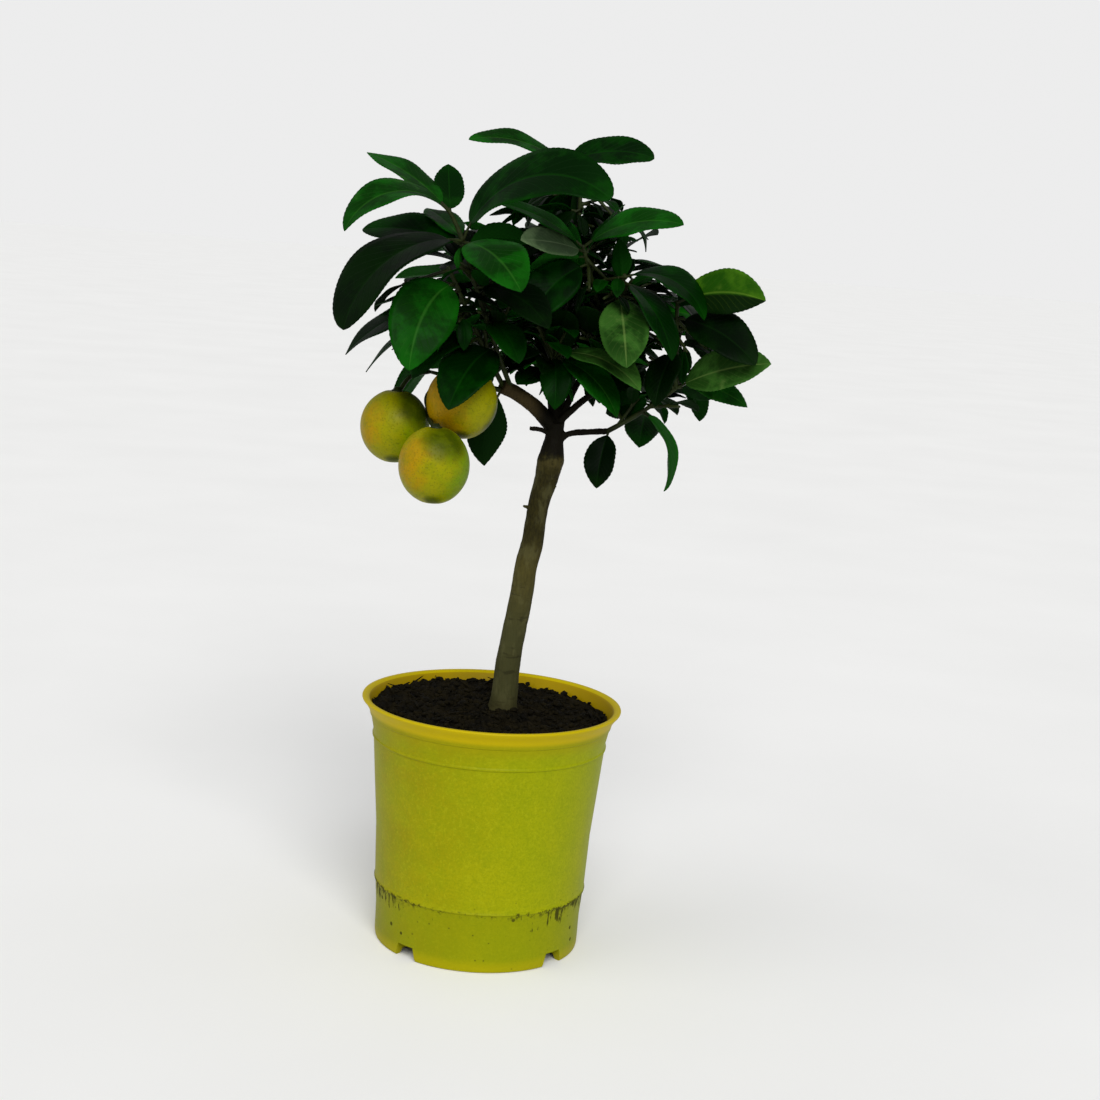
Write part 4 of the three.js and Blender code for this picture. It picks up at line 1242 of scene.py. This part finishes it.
# Crumbs: the least size, how much more, and the size up to which the coarse model does; how
# lumpy they are and their proportions; the fibres' share, length and thickness; turns and tilts
# in radians; and how they lie on the soil
CRUMB_SIZE, CRUMB_MORE, COARSE_CRUMB = 0.5, 2.6, 1.3
CRUMB_LUMP, CRUMB_LUMPS, PROPORTIONS = 0.55, 2.2, (0.6, 1.3)
FIBRE_SHARE, FIBRE_LENGTH, FIBRE_THICKNESS = 0.12, (2.5, 5), (0.35, 0.3)
CRUMB_TURN, CRUMB_TILT = (0, 6.28), (-0.5, 0.5)
CRUMB_INWARD, CRUMB_LIFT, CRUMB_FLATTER = 0.985, 0.3, 0.7


def crumb_models():
    """A coarse and a fine ball that the crumbs are made from."""
    for cuts in (1, 2):
        bpy.ops.object.select_all(action="DESELECT")
        bpy.ops.mesh.primitive_ico_sphere_add(subdivisions=cuts, radius=1)
        yield taken_apart(bpy.context.object)


def crumb(x, y, models, draw):
    """One crumb, chip or fibre, kept inside the wall."""
    size = CRUMB_SIZE + CRUMB_MORE * draw.uniform() ** 3
    points, faces = models[size > COARSE_CRUMB]
    shape = draw.uniform(*PROPORTIONS, 3) * (1, 1, CRUMB_FLATTER)
    if draw.uniform() < FIBRE_SHARE:
        shape = np.array((draw.uniform(*FIBRE_LENGTH), *FIBRE_THICKNESS))
    turn = Matrix.Rotation(draw.uniform(*CRUMB_TURN), 3, "Z")
    tilt = Matrix.Rotation(draw.uniform(*CRUMB_TILT), 3, "Y")
    lumps = [noise.noise(Vector(p) * CRUMB_LUMPS + Vector((x, y, 0))) for p in points]
    rough = 1 + CRUMB_LUMP * np.array(lumps)[:, None]
    local = (points * rough * shape * size) @ np.array(turn @ tilt).T
    local += soil_point(x * CRUMB_INWARD, y * CRUMB_INWARD)
    local[:, 2] += size * CRUMB_LIFT
    room = (np.interp(local[:, 2], *WALL) - CRUMB_GAP) / np.hypot(local[:, 0], local[:, 1])
    local[:, :2] *= np.minimum(1, room)[:, None]
    return local, faces


class LEMON_OT_soil(PieceOperator, bpy.types.Operator):
    """Build the soil: an uneven heaped surface and loose crumbs, chips and fibres"""
    bl_idname = "lemon.soil"
    bl_label = "Potting Soil"

    def execute(self, context):
        settings = context.scene.lemon
        rings = [(r, SOIL_TOP) for r in np.arange(SOIL_RADIUS, 1.0, -SOIL_RING_STEP)]
        soil = lathe("potting_soil", SOIL_SIDE + rings, SOIL_SIDES)
        for vertex in soil.data.vertices:
            if vertex.co.z > SOIL_HEAPED * MM:
                vertex.co = Vector(soil_point(vertex.co.x / MM, vertex.co.y / MM)) * MM
        pick(soil)
        bpy.ops.object.shade_smooth()
        earth = soil_material(settings)
        finish(soil, earth, ["soil"])
        models = list(crumb_models())
        draw = np.random.default_rng(settings.seed)
        pile = Pile()
        for _ in range(settings.crumbs):
            reach = SOIL_RADIUS * math.sqrt(draw.uniform())
            turn = draw.uniform(0, 2 * math.pi)
            x, y = reach * math.cos(turn), reach * math.sin(turn)
            if math.hypot(x - TRUNK_FOOT, y) >= CLEARING:
                pile.add(*crumb(x, y, models, draw))
        finish(pile.build("soil_crumbs"), earth)
        return {"FINISHED"}


# Limbs: steps between two points and facets round them, and how the fused mesh is smoothed
LIMB_STEPS, LIMB_SIDES = 6, 24
SMOOTHING = {"factor": 0.5, "iterations": 6}
# Bark relief: strength, and frequency across and along the limb
RIDGES, FINE_BARK, LUMPS = (2.2, 0.42, 0.045), (0.45, 1.3, 0.22), (1.1, 0.1, 0.05)


def bark_depth(x, y, z):
    """How far the bark stands out at a place in millimetres: ridges, lumps and scars."""
    ridge, fine, lump = (noise.noise((x * across, y * across, z * along))
                         for _, across, along in (RIDGES, FINE_BARK, LUMPS))
    depth = 1.0 - RIDGES[0] * abs(ridge) + FINE_BARK[0] * fine + LUMPS[0] * lump
    if y < SCARS_BACK:
        for sx, sz, wide, tall, push in SCARS:
            depth += push * math.exp(-((x - sx) / wide) ** 2 - ((z - sz) / tall) ** 2)
    return depth


class LEMON_OT_wood(PieceOperator, bpy.types.Operator):
    """Build the trunk and boughs as one fused mesh with bark relief, thorn stubs and scars"""
    bl_idname = "lemon.wood"
    bl_label = "Trunk and Boughs"

    def execute(self, context):
        settings = context.scene.lemon
        pile = Pile()
        for rows in [[BELOW_SOIL] + TRUNK] + BOUGHS + STUBS:
            line = smooth_line(rows, LIMB_STEPS)
            pile.add(*tube(line[:, :3], line[:, 3], LIMB_SIDES))
        wood = pile.build("trunk_and_boughs")
        apply(wood, "REMESH", mode="VOXEL", voxel_size=settings.bark_voxel)
        apply(wood, "SMOOTH", **SMOOTHING)
        vertices = wood.data.vertices
        points, normals = np.zeros((2, len(vertices), 3))
        vertices.foreach_get("co", points.ravel())
        vertices.foreach_get("normal", normals.ravel())
        depth = np.array([bark_depth(*point) for point in points / MM])
        points += normals * (depth * settings.bark_relief)[:, None]
        vertices.foreach_set("co", points.ravel())
        wood.data.update()
        pick(wood)
        bpy.ops.object.shade_smooth()
        finish(wood, bark_material(settings), WOOD_NODES)
        return {"FINISHED"}


GROWN = {}


def crown():
    """The grown plant, made once and kept for the operators that need it."""
    if not GROWN:
        GROWN.update(grow_plant())
    return GROWN


# Radii of a leaf's stalk, a bud and a fruit's stalk; heights and radii of a fruit's calyx
STALK_RADII, BUD_RADII, FRUIT_STALK = (1.15, 0.75), (1.5, 1.2, 0.4), (1.4, 1.8)
STEM_RINGS, SWAY, SWAYS = 9, 0.08, 23
BUD_RISE, BUD_LENGTH, BUD_SIDES = 40, 2.2, 6
FRUIT_STALK_STEPS, FRUIT_STALK_SIDES = 5, 10
CALYX_SINK, CALYX_HEIGHTS, CALYX_RADII = 1.3, (3.2, 1.6, 0.6, -1), (1.8, 2.8, 4.4, 4.2)


def stem(arc, radii, sides, last=1.0):
    """A tube along an arc, from its start to a share of its length."""
    shares = np.linspace(0, last, STEM_RINGS)
    sway = 1 + SWAY * np.sin(shares * SWAYS)
    return tube(arc.at(shares), np.interp(shares, (0, last), radii) * sway, sides)


class LEMON_OT_twigs(PieceOperator, bpy.types.Operator):
    """Build stems, twigs, leaf stalks, buds and the fruits' stalks and calyxes"""
    bl_idname = "lemon.twigs"
    bl_label = "Twigs and Stalks"

    def execute(self, context):
        sides = context.scene.lemon.twig_sides
        pile = Pile()
        for grown in crown().values():
            for leg in grown["legs"]:
                pile.add(*stem(leg, LEG_RADII, sides + 2))
            for twig in grown["twigs"]:
                pile.add(*stem(twig, TWIG_RADII, sides))
            for leaf in grown["leaves"]:
                pile.add(*stem(leaf, STALK_RADII, sides, PETIOLE_SHARE + 0.01))
                bud = leaf.start + polar(leaf.heading, leaf.rise + BUD_RISE) * BUD_LENGTH
                pile.add(*tube([leaf.start, (leaf.start + bud) / 2, bud], BUD_RADII, BUD_SIDES))
        for middle, radius, half_height, address, path in FRUITS:
            start = tuple(spot(crown()["truss"]["legs"], address))
            rows = smooth_line([start] + path, FRUIT_STALK_STEPS)
            pile.add(*tube(rows, np.linspace(*FRUIT_STALK, len(rows)), FRUIT_STALK_SIDES))
            top = np.array(middle) + (0, 0, half_height - CALYX_SINK)
            calyx = [top + (0, 0, z) for z in CALYX_HEIGHTS]
            pile.add(*tube(calyx, CALYX_RADII, FRUIT_STALK_SIDES))
        finish(pile.build("twigs_and_stalks"), twig_material())
        return {"FINISHED"}


class LEMON_OT_leaves(PieceOperator, bpy.types.Operator):
    """Build the leaves, one piece for each green"""
    bl_idname = "lemon.leaves"
    bl_label = "Leaves"

    def execute(self, context):
        settings = context.scene.lemon
        thickness = settings.leaf_thickness / MM
        draw = np.random.default_rng(settings.seed + 1)
        piles = {}
        for leaf in [leaf for grown in crown().values() for leaf in grown["leaves"]]:
            wider = 1 if leaf.length > FINE_LEAF else FINE_SPACING
            points, faces, uv, under = leaf_blade(leaf, settings.leaf_spacing / MM * wider,
                                                  thickness, draw)
            several = piles.setdefault(leaf.spray, [Pile()])
            if len(several[-1].faces) + len(faces) > MOST_FACES:
                several.append(Pile())
            several[-1].add(points, faces, LeafMap=uv, under=under, tone=draw.uniform())
        masses = [name + "_foliage" for name in MASSES if name != "truss"]
        # Each green's material and pieces take its name. The deep green is painted shade, the pale
        # grey-green is painted sheen, and the lime one has painted shade on half of a leaf
        for kind, several in piles.items():
            green = leaf_material(kind, settings)
            for i, pile in enumerate(several):
                piece = pile.build("leaves_%s_%d" % (kind, i + 1))
                finish(piece, green, masses)
        return {"FINISHED"}


# The dimple at a fruit's stalk and the tip at its foot: side, reach and push
FRUIT_ENDS = ((1, 0.35, -0.07), (-1, 0.3, 0.03))
POLE = 0.999
FRUIT_FACETS, FRUIT_RINGS, FRUIT_LUMP, FRUIT_LUMPS = 64, 44, 0.012, 1.6
# Ripening: the shady side is less ripe, the blush more so, and the foot is green; a dark green
# patch is partly unripe green and partly painted shade.
# Each limit is a slope and where it starts
SHADY, SHADE_STRENGTH, BLUSH_STRENGTH = (0.85, 0.25, -0.1), 0.4, 0.2
BLUSH_LIMIT, GREEN_AND_SHADE_LIMIT = (3, 2), (2.2, 1.25)
FOOT_WAY, FOOT_GREEN, FOOT_LIMIT = (0.05, -0.5, -0.865), 0.75, (16, 14.9)


def facing(points, way, limit):
    """How much each point faces a way, from 0 to 1 between its limits."""
    return np.clip(points @ way * limit[0] - limit[1], 0, 1)


def fruit_model():
    """Points and faces of a round fruit of radius 1."""
    bpy.ops.object.select_all(action="DESELECT")
    bpy.ops.mesh.primitive_uv_sphere_add(segments=FRUIT_FACETS, ring_count=FRUIT_RINGS, radius=1)
    model = bpy.context.object
    for side, reach, push in FRUIT_ENDS:
        bpy.ops.object.mode_set(mode="EDIT")
        bpy.ops.mesh.select_all(action="DESELECT")
        bpy.ops.object.mode_set(mode="OBJECT")
        for vertex in model.data.vertices:
            vertex.select = vertex.co.z * side > POLE
        bpy.ops.object.mode_set(mode="EDIT")
        bpy.ops.transform.translate(value=(0, 0, push), use_proportional_edit=True,
                                    proportional_edit_falloff="SMOOTH", proportional_size=reach)
        bpy.ops.object.mode_set(mode="OBJECT")
    return taken_apart(model)


class LEMON_OT_fruits(PieceOperator, bpy.types.Operator):
    """Build the three ripening lemons"""
    bl_idname = "lemon.fruits"
    bl_label = "Lemons"

    def execute(self, context):
        unit, faces = fruit_model()
        foot = FOOT_GREEN * facing(unit, FOOT_WAY, FOOT_LIMIT)
        pile = Pile()
        for n, (middle, radius, half_height, _, _) in enumerate(FRUITS):
            lumps = [noise.noise(Vector(p) * FRUIT_LUMPS + Vector((n * 7, 0, 0))) for p in unit]
            lumps = 1 + FRUIT_LUMP * np.array(lumps)[:, None]
            ripe = 0.5 + RIPER[n] - SHADE_STRENGTH * (unit @ SHADY)
            ripe += BLUSH_STRENGTH * facing(unit, BLUSH[n], BLUSH_LIMIT)
            # The patch is partly painted shade; the foot's green is the peel's own
            green = np.maximum(facing(unit, GREEN_AND_SHADE[n], GREEN_AND_SHADE_LIMIT), foot)
            points = unit * lumps * (radius, radius, half_height) + middle
            pile.add(points, faces, ripe=ripe, green=green)
        material = fruit_material(context.scene.lemon)
        finish(pile.build("lemons"), material, ["fruit_truss"])
        return {"FINISHED"}


# Stage: soft lights as place and spread in degrees, what they aim at, and the camera
FLOOR_SIZE = 60
LIGHTS = {"front_light": ((0.35, -2.1, 2.0), 34), "left_light": ((-2.2, -1.0, 1.6), 50)}
AIM = (0.02, 0, 0.35)
CAMERA_DOWN, CAMERA_ROLL, SENSOR, SIGHT = 9.6, 4.3, 36, 50


class LEMON_OT_stage(PieceOperator, bpy.types.Operator):
    """Lay the pale floor and set the lights, the sky and the camera"""
    bl_idname = "lemon.stage"
    bl_label = "Stage"

    def execute(self, context):
        scene, settings = context.scene, context.scene.lemon
        bpy.ops.object.select_all(action="DESELECT")
        bpy.ops.mesh.primitive_plane_add(size=FLOOR_SIZE)
        floor = bpy.context.object
        floor.name = "studio_floor"
        floor.data.materials.append(floor_material())
        scene.world = bpy.data.worlds.new("even_sky")
        scene.world.use_nodes = True
        air = Graph(scene.world.node_tree)
        seen = air.node("ShaderNodeLightPath").outputs["Is Camera Ray"]
        bright = air.node("ShaderNodeMapRange", {0: seen, 3: settings.sky, 4: settings.backdrop})
        air.feed(air.tree.nodes["Background"],
                 {"Color": (1, 1, 1, 1), "Strength": bright.outputs[0]})
        powers = (settings.key_light, settings.fill_light)
        for (name, (place, spread)), power in zip(LIGHTS.items(), powers):
            light = bpy.data.objects.new(name, bpy.data.lights.new(name, "SUN"))
            light.data.angle = spread * DEG
            light.data.energy = power
            light.location = place
            way = Vector(AIM) - Vector(place)
            light.rotation_euler = way.to_track_quat("-Z", "Y").to_euler()
            scene.collection.objects.link(light)
        camera = bpy.data.objects.new("camera", bpy.data.cameras.new("camera"))
        camera.data.lens = settings.lens
        camera.data.sensor_width = SENSOR
        camera.data.clip_end = SIGHT
        down, roll = CAMERA_DOWN * DEG, CAMERA_ROLL * DEG
        ahead, right = Vector((0, math.cos(down), -math.sin(down))), Vector((1, 0, 0))
        up = right.cross(ahead)
        level = right * math.cos(roll) + up * math.sin(roll)
        tall = up * math.cos(roll) - right * math.sin(roll)
        turned = Matrix((level, tall, -ahead)).transposed().to_4x4()
        camera.matrix_world = Matrix.Translation(settings.camera_place) @ turned
        scene.collection.objects.link(camera)
        scene.camera = camera
        scene.view_settings.view_transform = "Standard"
        return {"FINISHED"}


OPERATORS = (LEMON_OT_pot, LEMON_OT_soil, LEMON_OT_wood, LEMON_OT_twigs, LEMON_OT_leaves,
             LEMON_OT_fruits, LEMON_OT_stage)


class LEMON_PT_panel(bpy.types.Panel):
    """Lists the pieces in the order they are built"""
    bl_label = "Lemon Tree"
    bl_idname = "LEMON_PT_panel"
    bl_space_type = "VIEW_3D"
    bl_region_type = "UI"
    bl_category = "Lemon Tree"

    def draw(self, context):
        for operator in OPERATORS:
            self.layout.operator(operator.bl_idname)
        for name in LemonSettings.__annotations__:
            self.layout.prop(context.scene.lemon, name)


def register():
    for item in (LemonSettings, *OPERATORS, LEMON_PT_panel):
        bpy.utils.register_class(item)
    bpy.types.Scene.lemon = PointerProperty(type=LemonSettings)


def unregister():
    del bpy.types.Scene.lemon
    for item in reversed((LemonSettings, *OPERATORS, LEMON_PT_panel)):
        bpy.utils.unregister_class(item)


def main():
    register()
    for operator in OPERATORS:
        group_name, step = operator.bl_idname.split(".")
        if getattr(getattr(bpy.ops, group_name), step)() != {"FINISHED"}:
            raise RuntimeError("not finished: " + operator.bl_idname)


if __name__ == "__main__":
    main()
